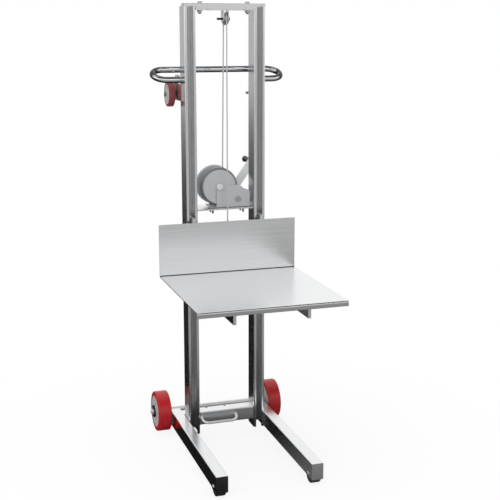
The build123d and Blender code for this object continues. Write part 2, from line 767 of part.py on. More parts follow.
grip_front_y = arm_back_y + grip_spindle_collar_height + washer_gap
grip_back_y = grip_front_y + grip_length
with BuildPart() as grip_spindle:
    with BuildSketch(Plane.XZ.offset(-(grip_back_y + washer_gap))):
        with Locations((grip_x, grip_z)):
            Circle(grip_spindle_radius)
    extrude(amount=grip_back_y + washer_gap - arm_front_y)
    with BuildSketch(Plane.XZ.offset(-(arm_back_y + grip_spindle_collar_height))):
        with Locations((grip_x, grip_z)):
            Circle(grip_spindle_collar)
    extrude(amount=grip_spindle_collar_height)
    with BuildSketch(Plane.XZ.offset(-(grip_back_y + washer_gap + grip_spindle_head_height))):
        with Locations((grip_x, grip_z)):
            Circle(grip_spindle_collar)
    extrude(amount=grip_spindle_head_height)
grip_spindle.part.label = "grip_spindle"
export_step(grip_spindle.part, "parts/grip_spindle.step")

# Grip: turned profile, fuller at its ends than at its waist
with BuildPart() as crank_grip:
    with BuildSketch(Plane((grip_x, grip_front_y, grip_z), x_dir=(0, 1, 0), z_dir=(1, 0, 0))):
        with BuildLine():
            Polyline(
                (grip_length, grip_radius - grip_end_round),
                (grip_length, grip_spindle_radius + loose_gap),
                (0, grip_spindle_radius + loose_gap),
                (0, grip_radius - grip_end_round),
            )
            RadiusArc((0, grip_radius - grip_end_round), (grip_end_round, grip_radius), grip_end_round)
            ThreePointArc(
                (grip_end_round, grip_radius),
                (grip_length / 2, grip_radius - grip_waist),
                (grip_length - grip_end_round, grip_radius),
            )
            RadiusArc(
                (grip_length - grip_end_round, grip_radius),
                (grip_length, grip_radius - grip_end_round),
                grip_end_round,
            )
        make_face()
    revolve(axis=Axis((grip_x, 0, grip_z), (0, 1, 0)))
crank_grip.part.label = "crank_grip"
export_step(crank_grip.part, "parts/crank_grip.step")

# Carriage side plates: each runs in a mast slot and turns forward into a fork arm
fork_top_of_arm_z = tray_top_z - tray_sheet
fork_bottom_z = fork_top_of_arm_z - fork_height
fork_tip_y = tray_front_y + fork_tip_gap
fork_back_y = mast_front_y + fork_rear_setback
plate_front_y = tray_back_y + tray_sheet
guide_front_y = mast_front_y + mast_lip_return
guide_back_y = mast_back_y - mast_wall
guide_y = (guide_front_y + guide_back_y) / 2
guide_zs = (fork_bottom_z + guide_lower_rise, fork_top_z - guide_upper_drop)
for side, side_name in SIDES:
    with BuildPart() as side_plate:
        with BuildSketch(Plane.YZ.offset(side * mast_x - fork_plate / 2)):
            with BuildLine():
                Polyline(
                    (fork_tip_y, fork_top_of_arm_z),
                    (plate_front_y, fork_top_of_arm_z),
                    (plate_front_y, fork_top_z),
                    (fork_back_y, fork_top_z),
                    (fork_back_y, fork_bottom_z),
                    (fork_tip_y, fork_bottom_z),
                    close=True,
                )
            make_face()
            with Locations(*[(guide_y, guide_z) for guide_z in guide_zs]):
                Circle(guide_axle_radius, mode=Mode.SUBTRACT)
        extrude(amount=fork_plate)
        corner_edges = side_plate.edges().filter_by(Axis.X).group_by(Axis.Y)[-1]
        fillet(corner_edges, radius=fork_nose)
    side_plate.part.label = f"carriage_plate_{side_name}"
    export_step(side_plate.part, f"parts/carriage_plate_{side_name}.step")

# Guide rollers: a pair on each axle, one each side of the plate, inside the mast
roller_inner_gap = fork_plate / 2 + guide_roller_side_gap
roller_outer_gap = mast_width / 2 - mast_wall - guide_roller_side_gap
roller_width = roller_outer_gap - roller_inner_gap
roller_mid_offset = (roller_outer_gap + roller_inner_gap) / 2
for side, side_name in SIDES:
    for level_name, guide_z in zip(("lower", "upper"), guide_zs):
        with BuildPart() as roller_pair:
            for roller_side in (-1, 1):
                roller_x = side * mast_x + roller_side * roller_mid_offset
                with BuildSketch(Plane.YZ.offset(roller_x - roller_width / 2)):
                    with Locations((guide_y, guide_z)):
                        Circle(guide_roller_radius)
                        Circle(guide_axle_radius + running_gap, mode=Mode.SUBTRACT)
                extrude(amount=roller_width)
            rims = roller_pair.edges().filter_by(GeomType.CIRCLE).group_by(SortBy.RADIUS)[-1]
            chamfer(rims, guide_roller_chamfer)
        roller_pair.part.label = f"guide_rollers_{side_name}_{level_name}"
        export_step(roller_pair.part, f"parts/guide_rollers_{side_name}_{level_name}.step")

with BuildPart() as guide_axles:
    for side, side_name in SIDES:
        for guide_z in guide_zs:
            with BuildSketch(Plane.YZ.offset(side * mast_x - roller_outer_gap)):
                with Locations((guide_y, guide_z)):
                    Circle(guide_axle_radius)
            extrude(amount=2 * roller_outer_gap)
guide_axles.part.label = "guide_axles"
export_step(guide_axles.part, "parts/guide_axles.step")

# Cross bars between the side plates, behind the tray's back
bar_width = 2 * mast_x - fork_plate
for level_name, bar_rise in (("lower", cross_bar_lower_rise), ("upper", cross_bar_upper_rise)):
    with BuildPart() as carriage_bar:
        with BuildSketch(Plane.XY.offset(tray_top_z + bar_rise)):
            with Locations((0, plate_front_y + cross_bar / 2)):
                Rectangle(bar_width, cross_bar)
        extrude(amount=cross_bar_height)
    carriage_bar.part.label = f"cross_bar_{level_name}"
    export_step(carriage_bar.part, f"parts/cross_bar_{level_name}.step")

# Rope anchor: a socket on a web, welded to the upper cross bar
bar_back_y = plate_front_y + cross_bar
with BuildPart() as rope_anchor:
    with BuildSketch(Plane.XY.offset(anchor_bottom_z)):
        with Locations((rope_x, (bar_back_y + rope_front_y) / 2)):
            Rectangle(anchor_web, rope_front_y - bar_back_y)
        with Locations((rope_x, rope_front_y)):
            Circle(anchor_socket_radius)
    extrude(amount=anchor_socket_length)
rope_anchor.part.label = "rope_anchor"
export_step(rope_anchor.part, "parts/rope_anchor.step")

# Load tray: one sheet folded up at the back and down at the front
tray_back_top_z = tray_top_z + tray_back_height
tray_lip_bottom_z = tray_top_z - tray_lip_height
tray_mid_z = tray_top_z - tray_sheet / 2
with BuildPart() as tray:
    with BuildSketch(Plane.YZ.offset(-tray_width / 2)):
        with BuildLine():
            FilletPolyline(
                (tray_back_y + tray_sheet / 2, tray_back_top_z - tray_sheet / 2),
                (tray_back_y + tray_sheet / 2, tray_mid_z),
                (tray_front_y + tray_sheet / 2, tray_mid_z),
                (tray_front_y + tray_sheet / 2, tray_lip_bottom_z + tray_sheet / 2),
                radius=(tray_back_bend, tray_bend),
            )
            offset(amount=tray_sheet / 2, side=Side.BOTH)
        make_face()
    extrude(amount=tray_width)
tray.part.label = "tray"
export_step(tray.part, "parts/tray.step")

# Push handle: a tube loop round the back of the masts, welded to their outer faces
handle_front_y = mast_front_y + handle_front_setback
handle_rear_y = mast_front_y + handle_rear_setback
handle_rear_z = handle_front_z + handle_rise
handle_run = Vector(0, handle_rear_y - handle_front_y, handle_rise)
handle_bend = handle_run.length / 2
handle_straight_x = handle_width / 2 - handle_tube / 2 - handle_bend
handle_end_x = handle_straight_x + handle_bend
handle_mid_y = (handle_front_y + handle_rear_y) / 2
handle_mid_z = (handle_front_z + handle_rear_z) / 2
with BuildPart() as push_handle:
    with BuildLine():
        for side, side_name in SIDES:
            weld = Vector(side * mast_outer_x, handle_front_y, handle_front_z)
            bend_front = Vector(side * handle_straight_x, handle_front_y, handle_front_z)
            bend_rear = Vector(side * handle_straight_x, handle_rear_y, handle_rear_z)
            Line(weld, bend_front)
            ThreePointArc(bend_front, (side * handle_end_x, handle_mid_y, handle_mid_z), bend_rear)
            Line(bend_rear, (0, handle_rear_y, handle_rear_z))
    with BuildSketch(Plane((-mast_outer_x, handle_front_y, handle_front_z), z_dir=(-1, 0, 0))):
        Circle(handle_tube / 2)
        Circle(handle_tube / 2 - handle_tube_wall, mode=Mode.SUBTRACT)
    sweep()
push_handle.part.label = "push_handle"
export_step(push_handle.part, "parts/push_handle.step")

# Upper wheel brackets: plates welded to the masts' outer faces, with an ear behind the handle
top_wheel_y = mast_front_y + top_wheel_setback
top_wheel_z = handle_front_z - top_wheel_drop
bracket_front_y = mast_front_y + bracket_front_setback
bracket_bottom_z = top_wheel_z - bracket_round
ear_front_y = handle_front_y + handle_tube / 2 + bracket_top_gap
ear_top_z = (handle_front_z + handle_rear_z) / 2
shelf_edge_z = handle_front_z - handle_tube / 2 - bracket_top_gap
for side, side_name in SIDES:
    plate_inner_x = side * mast_outer_x
    with BuildPart() as wheel_bracket:
        with BuildSketch(Plane.YZ.offset(min(plate_inner_x, plate_inner_x + side * bracket_plate))):
            with BuildLine():
                Polyline(
                    (bracket_front_y, bracket_bottom_z),
                    (bracket_front_y, shelf_edge_z),
                    (ear_front_y, shelf_edge_z),
                    (ear_front_y, ear_top_z),
                    (ear_front_y + bracket_ear_width, ear_top_z),
                    (top_wheel_y + bracket_round, top_wheel_z),
                )
                ThreePointArc(
                    (top_wheel_y + bracket_round, top_wheel_z),
                    (
                        top_wheel_y + bracket_round * cos(pi / 4),
                        top_wheel_z - bracket_round * sin(pi / 4),
                    ),
                    (top_wheel_y, bracket_bottom_z),
                )
                Line((top_wheel_y, bracket_bottom_z), (bracket_front_y, bracket_bottom_z))
            make_face()
            with Locations((top_wheel_y, top_wheel_z)):
                Circle(top_bolt_radius, mode=Mode.SUBTRACT)
        extrude(amount=bracket_plate)
    wheel_bracket.part.label = f"wheel_bracket_{side_name}"
    export_step(wheel_bracket.part, f"parts/wheel_bracket_{side_name}.step")


# A wheel hub's outline: boss, web and rim, with X along the axle and Y outward
def hub_outline(width, rim_radius, rim_depth, boss_radius, bore_radius, web, boss_proud):
    Polyline(
        (-width / 2 - boss_proud, bore_radius),
        (-width / 2 - boss_proud, boss_radius),
        (-web / 2, boss_radius),
        (-web / 2, rim_radius - rim_depth),
        (-width / 2, rim_radius - rim_depth),
        (-width / 2, rim_radius),
        (width / 2, rim_radius),
        (width / 2, rim_radius - rim_depth),
        (web / 2, rim_radius - rim_depth),
        (web / 2, boss_radius),
        (width / 2 + boss_proud, boss_radius),
        (width / 2 + boss_proud, bore_radius),
        close=True,
    )


# Upper transport wheels, hub and tyre, on bolts through the bracket plates
top_wheel_x = mast_outer_x + bracket_plate + top_wheel_side_gap + top_wheel_width / 2
top_rim_radius = top_wheel_radius - top_tyre_thickness
for side, side_name in SIDES:
    wheel_plane = Plane((side * top_wheel_x, top_wheel_y, top_wheel_z), x_dir=(1, 0, 0), z_dir=(0, -1, 0))
    wheel_axis = Axis((0, top_wheel_y, top_wheel_z), (1, 0, 0))
    with BuildPart() as top_hub:
        with BuildSketch(wheel_plane):
            with BuildLine():
                hub_outline(
                    top_wheel_width,
                    top_rim_radius,
                    top_rim_depth,
                    top_hub_radius,
                    top_bolt_radius + running_gap,
                    top_web_thickness,
                    top_hub_proud,
                )
            make_face()
        revolve(axis=wheel_axis)
    top_hub.part.label = f"top_wheel_hub_{side_name}"
    export_step(top_hub.part, f"parts/top_wheel_hub_{side_name}.step")

    with BuildPart() as top_tyre:
        with BuildSketch(wheel_plane):
            with Locations((0, top_wheel_radius - top_tyre_thickness / 2)):
                Rectangle(top_wheel_width, top_tyre_thickness)
        revolve(axis=wheel_axis)
        shoulders = top_tyre.edges().filter_by(GeomType.CIRCLE).group_by(SortBy.RADIUS)[-1]
        fillet(shoulders, radius=top_tyre_shoulder)
    top_tyre.part.label = f"top_wheel_tyre_{side_name}"
    export_step(top_tyre.part, f"parts/top_wheel_tyre_{side_name}.step")

bolt_head_x = top_wheel_x + top_wheel_width / 2 + top_hub_proud + washer_gap
bolt_tail_x = mast_outer_x - top_bolt_tail
with BuildPart() as top_wheel_bolts:
    for side, side_name in SIDES:
        with BuildSketch(Plane.YZ.offset(min(side * bolt_tail_x, side * bolt_head_x))):
            with Locations((top_wheel_y, top_wheel_z)):
                Circle(top_bolt_radius)
        extrude(amount=bolt_head_x - bolt_tail_x)
        head_far_x = bolt_head_x + top_bolt_head_height
        with BuildSketch(Plane.YZ.offset(min(side * bolt_head_x, side * head_far_x))):
            with Locations((top_wheel_y, top_wheel_z)):
                RegularPolygon(hex_radius(top_bolt_head), 6)
        extrude(amount=top_bolt_head_height)
        nut_far_x = mast_outer_x - m10_nut_height
        with BuildSketch(Plane.YZ.offset(min(side * nut_far_x, side * mast_outer_x))):
            with Locations((top_wheel_y, top_wheel_z)):
                RegularPolygon(hex_radius(m10_head), 6)
        extrude(amount=m10_nut_height)
top_wheel_bolts.part.label = "top_wheel_bolts"
export_step(top_wheel_bolts.part, "parts/top_wheel_bolts.step")

# Floor legs: box tubes along the masts' outer faces, plated at the front end and open underneath
# at the front roller
leg_mid_x = mast_outer_x + leg_width / 2
leg_outer_x = mast_outer_x + leg_width
leg_mid_z = leg_bottom_z + leg_height / 2
leg_front_y = mast_front_y - leg_reach
leg_rear_y = axle_y - rear_axle_radius + axle_saddle_depth
leg_length = leg_rear_y - leg_front_y
roller_y = leg_front_y + leg_end_plate + front_roller_gap + front_roller_radius
roller_z = front_roller_radius
for side, side_name in SIDES:
    with BuildPart() as leg:
        leg_end = Plane((side * leg_mid_x, leg_front_y, leg_mid_z), x_dir=(-1, 0, 0), z_dir=(0, 1, 0))
        with BuildSketch(leg_end):
            RectangleRounded(leg_width, leg_height, leg_corner)
        extrude(amount=leg_end_plate)
        with BuildSketch(leg_end):
            RectangleRounded(leg_width, leg_height, leg_corner)
            RectangleRounded(
                leg_width - 2 * leg_wall,
                leg_height - 2 * leg_wall,
                leg_corner - leg_wall,
                mode=Mode.SUBTRACT,
            )
        extrude(amount=leg_length)
        with BuildSketch(Plane.XY.offset(leg_bottom_z)):
            with Locations((side * leg_mid_x, leg_front_y + leg_end_plate + leg_opening / 2)):
                Rectangle(leg_width - 2 * leg_wall, leg_opening)
        extrude(amount=leg_wall, mode=Mode.SUBTRACT)
        with BuildSketch(Plane.YZ.offset(side * leg_mid_x)):
            with Locations((roller_y, roller_z)):
                Circle(front_roller_bolt_radius)
            with Locations((axle_y, axle_z)):
                Circle(rear_axle_radius)
        extrude(amount=leg_width, both=True, mode=Mode.SUBTRACT)
    leg.part.label = f"leg_{side_name}"
    export_step(leg.part, f"parts/leg_{side_name}.step")

# Front rollers, crowned at their rims, and the bolts they turn on
for side, side_name in SIDES:
    with BuildPart() as front_roller:
        with BuildSketch(Plane.YZ.offset(side * leg_mid_x - front_roller_width / 2)):
            with Locations((roller_y, roller_z)):
                Circle(front_roller_radius)
                Circle(front_roller_bolt_radius + running_gap, mode=Mode.SUBTRACT)
        extrude(amount=front_roller_width)
        rims = front_roller.edges().filter_by(GeomType.CIRCLE).group_by(SortBy.RADIUS)[-1]
        fillet(rims, radius=front_roller_crown)
    front_roller.part.label = f"front_roller_{side_name}"
    export_step(front_roller.part, f"parts/front_roller_{side_name}.step")

with BuildPart() as front_roller_bolts:
    for side, side_name in SIDES:
        with BuildSketch(Plane.YZ.offset(side * leg_mid_x)):
            with Locations((roller_y, roller_z)):
                Circle(front_roller_bolt_radius)
        extrude(amount=leg_width / 2, both=True)
        for outward in (-1, 1):
            head_x = side * leg_mid_x + outward * leg_width / 2
            with BuildSketch(Plane((head_x, roller_y, roller_z), x_dir=(0, 1, 0), z_dir=(outward, 0, 0))):
                Circle(roller_bolt_head_radius)
            extrude(amount=roller_bolt_head_height)
front_roller_bolts.part.label = "front_roller_bolts"
export_step(front_roller_bolts.part, "parts/front_roller_bolts.step")

# Base crossbar: square tube between the masts, drilled in its top near the rear edge
crossbar_front_y = mast_front_y + crossbar_setback
crossbar_mid_y = crossbar_front_y + crossbar_size / 2
crossbar_mid_z = crossbar_bottom_z + crossbar_size / 2
crossbar_top_z = crossbar_bottom_z + crossbar_size
lift_handle_x = -mast_inner_x + lift_handle_side_gap + lift_handle_width / 2
hole_y = crossbar_front_y + crossbar_size - crossbar_hole_inset
with BuildPart() as base_crossbar:
    with BuildSketch(Plane.YZ.offset(-mast_inner_x)):
        with Locations((crossbar_mid_y, crossbar_mid_z)):
            RectangleRounded(crossbar_size, crossbar_size, crossbar_corner)
            RectangleRounded(
                crossbar_size - 2 * crossbar_wall,
                crossbar_size - 2 * crossbar_wall,
                crossbar_corner - crossbar_wall,
                mode=Mode.SUBTRACT,
            )
    extrude(amount=mast_gap)
    with BuildSketch(Plane.XY.offset(crossbar_top_z)):
        with Locations((lift_handle_x, hole_y)):
            with GridLocations(crossbar_hole_pitch, 0, 2, 1):
                Circle(crossbar_hole_radius)
    extrude(amount=-crossbar_wall, mode=Mode.SUBTRACT)
base_crossbar.part.label = "base_crossbar"
export_step(base_crossbar.part, "parts/base_crossbar.step")

# Lifting handle: a bent rod welded to the crossbar's front face, drooping a little
handle_root_z = crossbar_bottom_z + lift_handle_rise
handle_half = (lift_handle_width - lift_handle_rod) / 2
droop = radians(lift_handle_droop)
handle_forward = Vector(0, -cos(droop), -sin(droop))
rod_start = Vector(lift_handle_x - handle_half, crossbar_front_y, handle_root_z)
rod_reach = lift_handle_reach - lift_handle_rod / 2
rod_across = Vector(2 * handle_half, 0, 0)
with BuildPart() as lift_handle:
    with BuildLine():
        FilletPolyline(
            rod_start,
            rod_start + handle_forward * rod_reach,
            rod_start + handle_forward * rod_reach + rod_across,
            rod_start + rod_across,
            radius=lift_handle_bend,
        )
    with BuildSketch(Plane(rod_start, x_dir=(1, 0, 0), z_dir=handle_forward)):
        Circle(lift_handle_rod / 2)
    sweep()
    with BuildSketch(Plane.XZ.offset(-crossbar_front_y)):
        with Locations((lift_handle_x, handle_root_z)):
            Rectangle(2 * lift_handle_width, 2 * lift_handle_width)
    extrude(amount=-lift_handle_rod, mode=Mode.SUBTRACT)
lift_handle.part.label = "lift_handle"
export_step(lift_handle.part, "parts/lift_handle.step")

# Rear wheels, hub and tyre, free on the axle
rear_wheel_x = leg_outer_x + rear_wheel_side_gap + rear_wheel_width / 2
rear_rim_radius = rear_wheel_radius - rear_tyre_thickness
for side, side_name in SIDES:
    wheel_plane = Plane((side * rear_wheel_x, axle_y, axle_z), x_dir=(1, 0, 0), z_dir=(0, -1, 0))
    wheel_axis = Axis((0, axle_y, axle_z), (1, 0, 0))
    with BuildPart() as rear_hub:
        with BuildSketch(wheel_plane):
            with BuildLine():
                hub_outline(
                    rear_wheel_width,
                    rear_rim_radius,
                    rear_rim_depth,
                    rear_hub_radius,
                    rear_axle_radius + running_gap,
                    rear_web_thickness,
                    rear_hub_proud,
                )
            make_face()
        revolve(axis=wheel_axis)
    rear_hub.part.label = f"rear_wheel_hub_{side_name}"
    export_step(rear_hub.part, f"parts/rear_wheel_hub_{side_name}.step")

    with BuildPart() as rear_tyre:
        with BuildSketch(wheel_plane):
            with Locations((0, rear_wheel_radius - rear_tyre_thickness / 2)):
                Rectangle(rear_wheel_width, rear_tyre_thickness)
        revolve(axis=wheel_axis)
        shoulders = rear_tyre.edges().filter_by(GeomType.CIRCLE).group_by(SortBy.RADIUS)[-1]
        fillet(shoulders, radius=rear_tyre_shoulder)
    rear_tyre.part.label = f"rear_wheel_tyre_{side_name}"
    export_step(rear_tyre.part, f"parts/rear_wheel_tyre_{side_name}.step")

# Axle, seated in the rear ends of both legs, and the washers and pins that hold the wheels
hub_outer_x = rear_wheel_x + rear_wheel_width / 2 + rear_hub_proud
hub_inner_x = rear_wheel_x - rear_wheel_width / 2 - rear_hub_proud
washer_inner_x = hub_outer_x + washer_gap
pin_x = washer_inner_x + axle_washer_thickness + split_pin_radius + washer_gap
axle_half = pin_x + axle_end
with BuildPart() as rear_axle:
    with BuildSketch(Plane.YZ):
        with Locations((axle_y, axle_z)):
            Circle(rear_axle_radius)
    extrude(amount=axle_half, both=True)
    chamfer(rear_axle.edges().filter_by(GeomType.CIRCLE), axle_chamfer)
    with Locations((-pin_x, axle_y, axle_z), (pin_x, axle_y, axle_z)):
        Cylinder(split_pin_radius, split_pin_length, mode=Mode.SUBTRACT)
rear_axle.part.label = "rear_axle"
export_step(rear_axle.part, "parts/rear_axle.step")

spacer_length = hub_inner_x - washer_gap - leg_outer_x
with BuildPart() as axle_washers:
    for side, side_name in SIDES:
        for ring_x, ring_length, ring_radius in (
            (leg_outer_x, spacer_length, axle_spacer_radius),
            (washer_inner_x, axle_washer_thickness, axle_washer_radius),
        ):
            with BuildSketch(Plane.YZ.offset(min(side * ring_x, side * (ring_x + ring_length)))):
                with Locations((axle_y, axle_z)):
                    Circle(ring_radius)
                    Circle(rear_axle_radius, mode=Mode.SUBTRACT)
            extrude(amount=ring_length)
axle_washers.part.label = "axle_washers"
export_step(axle_washers.part, "parts/axle_washers.step")

with BuildPart() as split_pins:
    with Locations((-pin_x, axle_y, axle_z), (pin_x, axle_y, axle_z)):
        Cylinder(split_pin_radius, split_pin_length)
split_pins.part.label = "split_pins"
export_step(split_pins.part, "parts/split_pins.step")
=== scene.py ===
import json
import math

import bmesh
import bpy
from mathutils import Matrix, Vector


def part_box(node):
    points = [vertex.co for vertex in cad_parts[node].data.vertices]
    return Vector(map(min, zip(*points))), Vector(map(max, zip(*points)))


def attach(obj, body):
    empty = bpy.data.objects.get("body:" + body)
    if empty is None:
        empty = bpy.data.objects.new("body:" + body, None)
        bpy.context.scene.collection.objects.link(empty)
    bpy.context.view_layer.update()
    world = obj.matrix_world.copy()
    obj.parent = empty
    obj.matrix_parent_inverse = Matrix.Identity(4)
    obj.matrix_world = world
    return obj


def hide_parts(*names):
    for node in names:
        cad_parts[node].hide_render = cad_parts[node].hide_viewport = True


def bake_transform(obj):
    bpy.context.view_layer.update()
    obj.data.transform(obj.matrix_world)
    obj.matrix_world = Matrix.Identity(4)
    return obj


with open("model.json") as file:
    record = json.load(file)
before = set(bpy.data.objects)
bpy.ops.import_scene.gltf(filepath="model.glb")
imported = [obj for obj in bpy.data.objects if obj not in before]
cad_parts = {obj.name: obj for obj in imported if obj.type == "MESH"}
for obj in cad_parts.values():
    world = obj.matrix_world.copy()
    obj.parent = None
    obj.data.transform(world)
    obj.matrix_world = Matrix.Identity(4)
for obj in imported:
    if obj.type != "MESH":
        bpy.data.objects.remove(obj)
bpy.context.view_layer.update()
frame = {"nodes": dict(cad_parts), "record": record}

nodes = frame["nodes"]
scene = bpy.context.scene
MM = 0.001


# Colours and shader nodes
def linear(hex_colour):
    channels = [int(hex_colour[i:i + 2], 16) / 255 for i in (1, 3, 5)]
    return [c / 12.92 if c <= 0.04045 else ((c + 0.055) / 1.055) ** 2.4 for c in channels] + [1.0]


def add_node(tree, kind, inputs, **settings):
    node = tree.nodes.new(kind)
    for name, value in settings.items():
        setattr(node, name, value)
    for name, value in inputs.items():
        if isinstance(value, bpy.types.NodeSocket):
            tree.links.new(value, node.inputs[name])
        else:
            node.inputs[name].default_value = value
    return node


def start_finish(name):
    finish = bpy.data.materials.new(name)
    finish.use_nodes = True
    tree = finish.node_tree
    return finish, tree, tree.nodes["Principled BSDF"]


# Brushed stainless steel: the belt leaves fine scratches one way, so highlights smear across them.
# Real scratches are about 0.2 mm apart; they are drawn 2.5 mm apart so that they show at this distance.
SCRATCH_SPACING = 2.5 * MM
SCRATCH_LENGTH = 350 * MM
# Most of a noise texture's values lie between these two.
NOISE_LOW, NOISE_HIGH = 0.3, 0.7


def brushed_stainless(name, brush_axis, colour_low, colour_high, rough_low, rough_high):
    finish, tree, shader = start_finish(name)
    scale = [1 / (SCRATCH_LENGTH if axis == brush_axis else SCRATCH_SPACING) for axis in "XYZ"]
    place = add_node(tree, "ShaderNodeTexCoord", {})
    stretch = add_node(tree, "ShaderNodeMapping", {"Vector": place.outputs["Object"], "Scale": scale})
    scratches = add_node(tree, "ShaderNodeTexNoise", {
        "Vector": stretch.outputs["Vector"], "Scale": 1.0, "Detail": 3.0})
    rough = add_node(tree, "ShaderNodeMapRange", {
        "Value": scratches.outputs["Fac"], "From Min": NOISE_LOW, "From Max": NOISE_HIGH,
        "To Min": rough_low, "To Max": rough_high})
    tint = add_node(tree, "ShaderNodeMix", {
        "Factor": scratches.outputs["Fac"], "A": linear(colour_low), "B": linear(colour_high)},
        data_type="RGBA")
    tree.links.new(tint.outputs["Result"], shader.inputs["Base Color"])
    tree.links.new(rough.outputs["Result"], shader.inputs["Roughness"])
    shader.inputs["Metallic"].default_value = 1.0
    return finish


mast_steel = brushed_stainless("stainless_section_brushed_lengthwise", "Z", "#E8E9EA", "#EEEFF0", 0.2, 0.25)
leg_steel = brushed_stainless("stainless_leg_brushed_lengthwise", "Y", "#E9EAEB", "#F0F1F2", 0.18, 0.24)
bar_steel = brushed_stainless("stainless_bar_brushed_across", "X", "#E0E1E2", "#E8E9EA", 0.2, 0.27)
tray_steel = brushed_stainless("stainless_sheet_brushed_across", "X", "#E5E6E7", "#F7F8F9", 0.24, 0.27)
# The foot bar is ground with a coarser belt, so it scatters more and looks paler.
foot_steel = brushed_stainless("stainless_foot_bar_ground_coarse", "X", "#ECEDEE", "#F2F3F4", 0.34, 0.42)


# Chrome plate over polished tube: a mirror, with only the faint waviness of the tube's polishing.
# Where the tube turns away, a painted reflection of the dark room darkens its colour, so both of its edges
# are dark lines.
POLISH_WAVE = 12 * MM
chrome, tree, shader = start_finish("steel_tube_chrome_plated")
place = add_node(tree, "ShaderNodeTexCoord", {})
polish = add_node(tree, "ShaderNodeTexNoise", {
    "Vector": place.outputs["Object"], "Scale": 1 / POLISH_WAVE, "Detail": 2.0})
haze = add_node(tree, "ShaderNodeMapRange", {
    "Value": polish.outputs["Fac"], "To Min": 0.03, "To Max": 0.09})
tree.links.new(haze.outputs["Result"], shader.inputs["Roughness"])
# Painted reflection: the base colour turns dark where the surface faces away from the view.
turned_away = add_node(tree, "ShaderNodeLayerWeight", {"Blend": 0.5})
painted_dark_edge = add_node(tree, "ShaderNodeMapRange", {
    "Value": turned_away.outputs["Facing"], "From Min": 0.18, "From Max": 0.44},
    interpolation_type="SMOOTHSTEP")
tint = add_node(tree, "ShaderNodeMix", {
    "Factor": painted_dark_edge.outputs["Result"], "A": linear("#E4E5E8"), "B": linear("#333436")}, data_type="RGBA")
tree.links.new(tint.outputs["Result"], shader.inputs["Base Color"])
shader.inputs["Metallic"].default_value = 1.0


# A finish with a fine grain: colour, gloss and relief vary together at the grain's size in mm.
def grained_finish(name, colour_low, colour_high, metallic, rough_low, rough_high, grain_mm, relief_mm):
    finish, tree, shader = start_finish(name)
    place = add_node(tree, "ShaderNodeTexCoord", {})
    grain = add_node(tree, "ShaderNodeTexNoise", {
        "Vector": place.outputs["Object"], "Scale": 1 / (grain_mm * MM), "Detail": 3.0})
    tint = add_node(tree, "ShaderNodeMix", {
        "Factor": grain.outputs["Fac"], "A": linear(colour_low), "B": linear(colour_high)},
        data_type="RGBA")
    rough = add_node(tree, "ShaderNodeMapRange", {
        "Value": grain.outputs["Fac"], "From Min": NOISE_LOW, "From Max": NOISE_HIGH,
        "To Min": rough_low, "To Max": rough_high})
    relief = add_node(tree, "ShaderNodeBump", {
        "Height": grain.outputs["Fac"], "Strength": 0.5, "Distance": relief_mm * MM})
    tree.links.new(tint.outputs["Result"], shader.inputs["Base Color"])
    tree.links.new(rough.outputs["Result"], shader.inputs["Roughness"])
    tree.links.new(relief.outputs["Normal"], shader.inputs["Normal"])
    shader.inputs["Metallic"].default_value = metallic
    return finish


# Silver paint on pressed steel: a soft flake gloss with an orange peel about 2 mm across.
SILVER = ("#CBCCCE", "#D5D6D8", 0.6, 0.34, 0.42, 2.0, 0.05)
winch_paint = grained_finish("pressed_steel_silver_paint", *SILVER)
# Plain pale enamel on the crank: even and half matt.
crank_enamel = grained_finish("crank_steel_pale_enamel", "#E4E5E6", "#ECEDEE", 0.0, 0.34, 0.44, 2.0, 0.05)
# Zinc plate: bright but cloudy, in patches of about 4 mm.
zinc = grained_finish("steel_fastener_zinc_plated", "#B2B4B8", "#CACCCF", 1.0, 0.24, 0.4, 4.0, 0.02)
# Zinc on the guide rollers, rubbed dull by the channel: it scatters enough to show inside the slot.
roller_zinc = grained_finish("guide_roller_zinc_rubbed", "#C2C4C7", "#D3D5D7", 0.35, 0.45, 0.6, 3.0, 0.02)
# Oil-blackened steel: near black with a low sheen where it is rubbed.
black_steel = grained_finish("steel_blackened_oil", "#1B1B1D", "#2E2E30", 0.4, 0.36, 0.5, 3.0, 0.02)
# Galvanised rope wire: pale grey, dulled by handling.
rope_wire = grained_finish("wire_rope_galvanised", "#CACCCE", "#DEDFE1", 0.55, 0.34, 0.48, 3.0, 0.01)
# Moulded polyurethane: clear red, soft gloss, a little uneven where it left the mould.
rear_tread = grained_finish(
    "polyurethane_tread_moulded_red", "#B0161B", "#BE2126", 0.0, 0.26, 0.4, 6.0, 0.05)
# The same on the small upper wheels, with painted shade: a darker red, and duller.
shaded_upper_tread = grained_finish(
    "polyurethane_tread_red_painted_shade", "#7B3236", "#8A3C40", 0.0, 0.4, 0.55, 5.0, 0.05)
# Cast hub under light grey paint: matt, with the sand's grain showing faintly.
hub_paint = grained_finish("wheel_hub_cast_light_grey", "#B6B6B4", "#C2C2C0", 0.0, 0.42, 0.55, 1.6, 0.08)
# Moulded polypropylene: black with a fine spark texture, so that it never mirrors.
grip_plastic = grained_finish(
    "grip_polypropylene_moulded_black", "#121213", "#1D1D1F", 0.0, 0.38, 0.52, 1.2, 0.06)
# Dark nylon turned on a lathe: satin and slightly scuffed.
roller_nylon = grained_finish("roller_nylon_turned_dark", "#252527", "#343437", 0.0, 0.38, 0.55, 2.5, 0.05)
# Bonded friction lining: dull brown, speckled with filler.
lining = grained_finish("brake_lining_bonded_brown", "#4A392C", "#6B5543", 0.0, 0.75, 0.9, 1.5, 0.05)
# Bead-blasted rod and shaft end: pale and even, because the small dimples scatter most of the light.
rod_steel = grained_finish("stainless_rod_bead_blasted", "#E6E7E8", "#F0F1F2", 0.55, 0.36, 0.46, 1.0, 0.03)
# Weld bead, brushed after welding: bright ridges with a straw tint left by the heat.
weld_steel = grained_finish("stainless_weld_brushed", "#A8A49C", "#CBCBC9", 1.0, 0.28, 0.45, 3.0, 0.02)


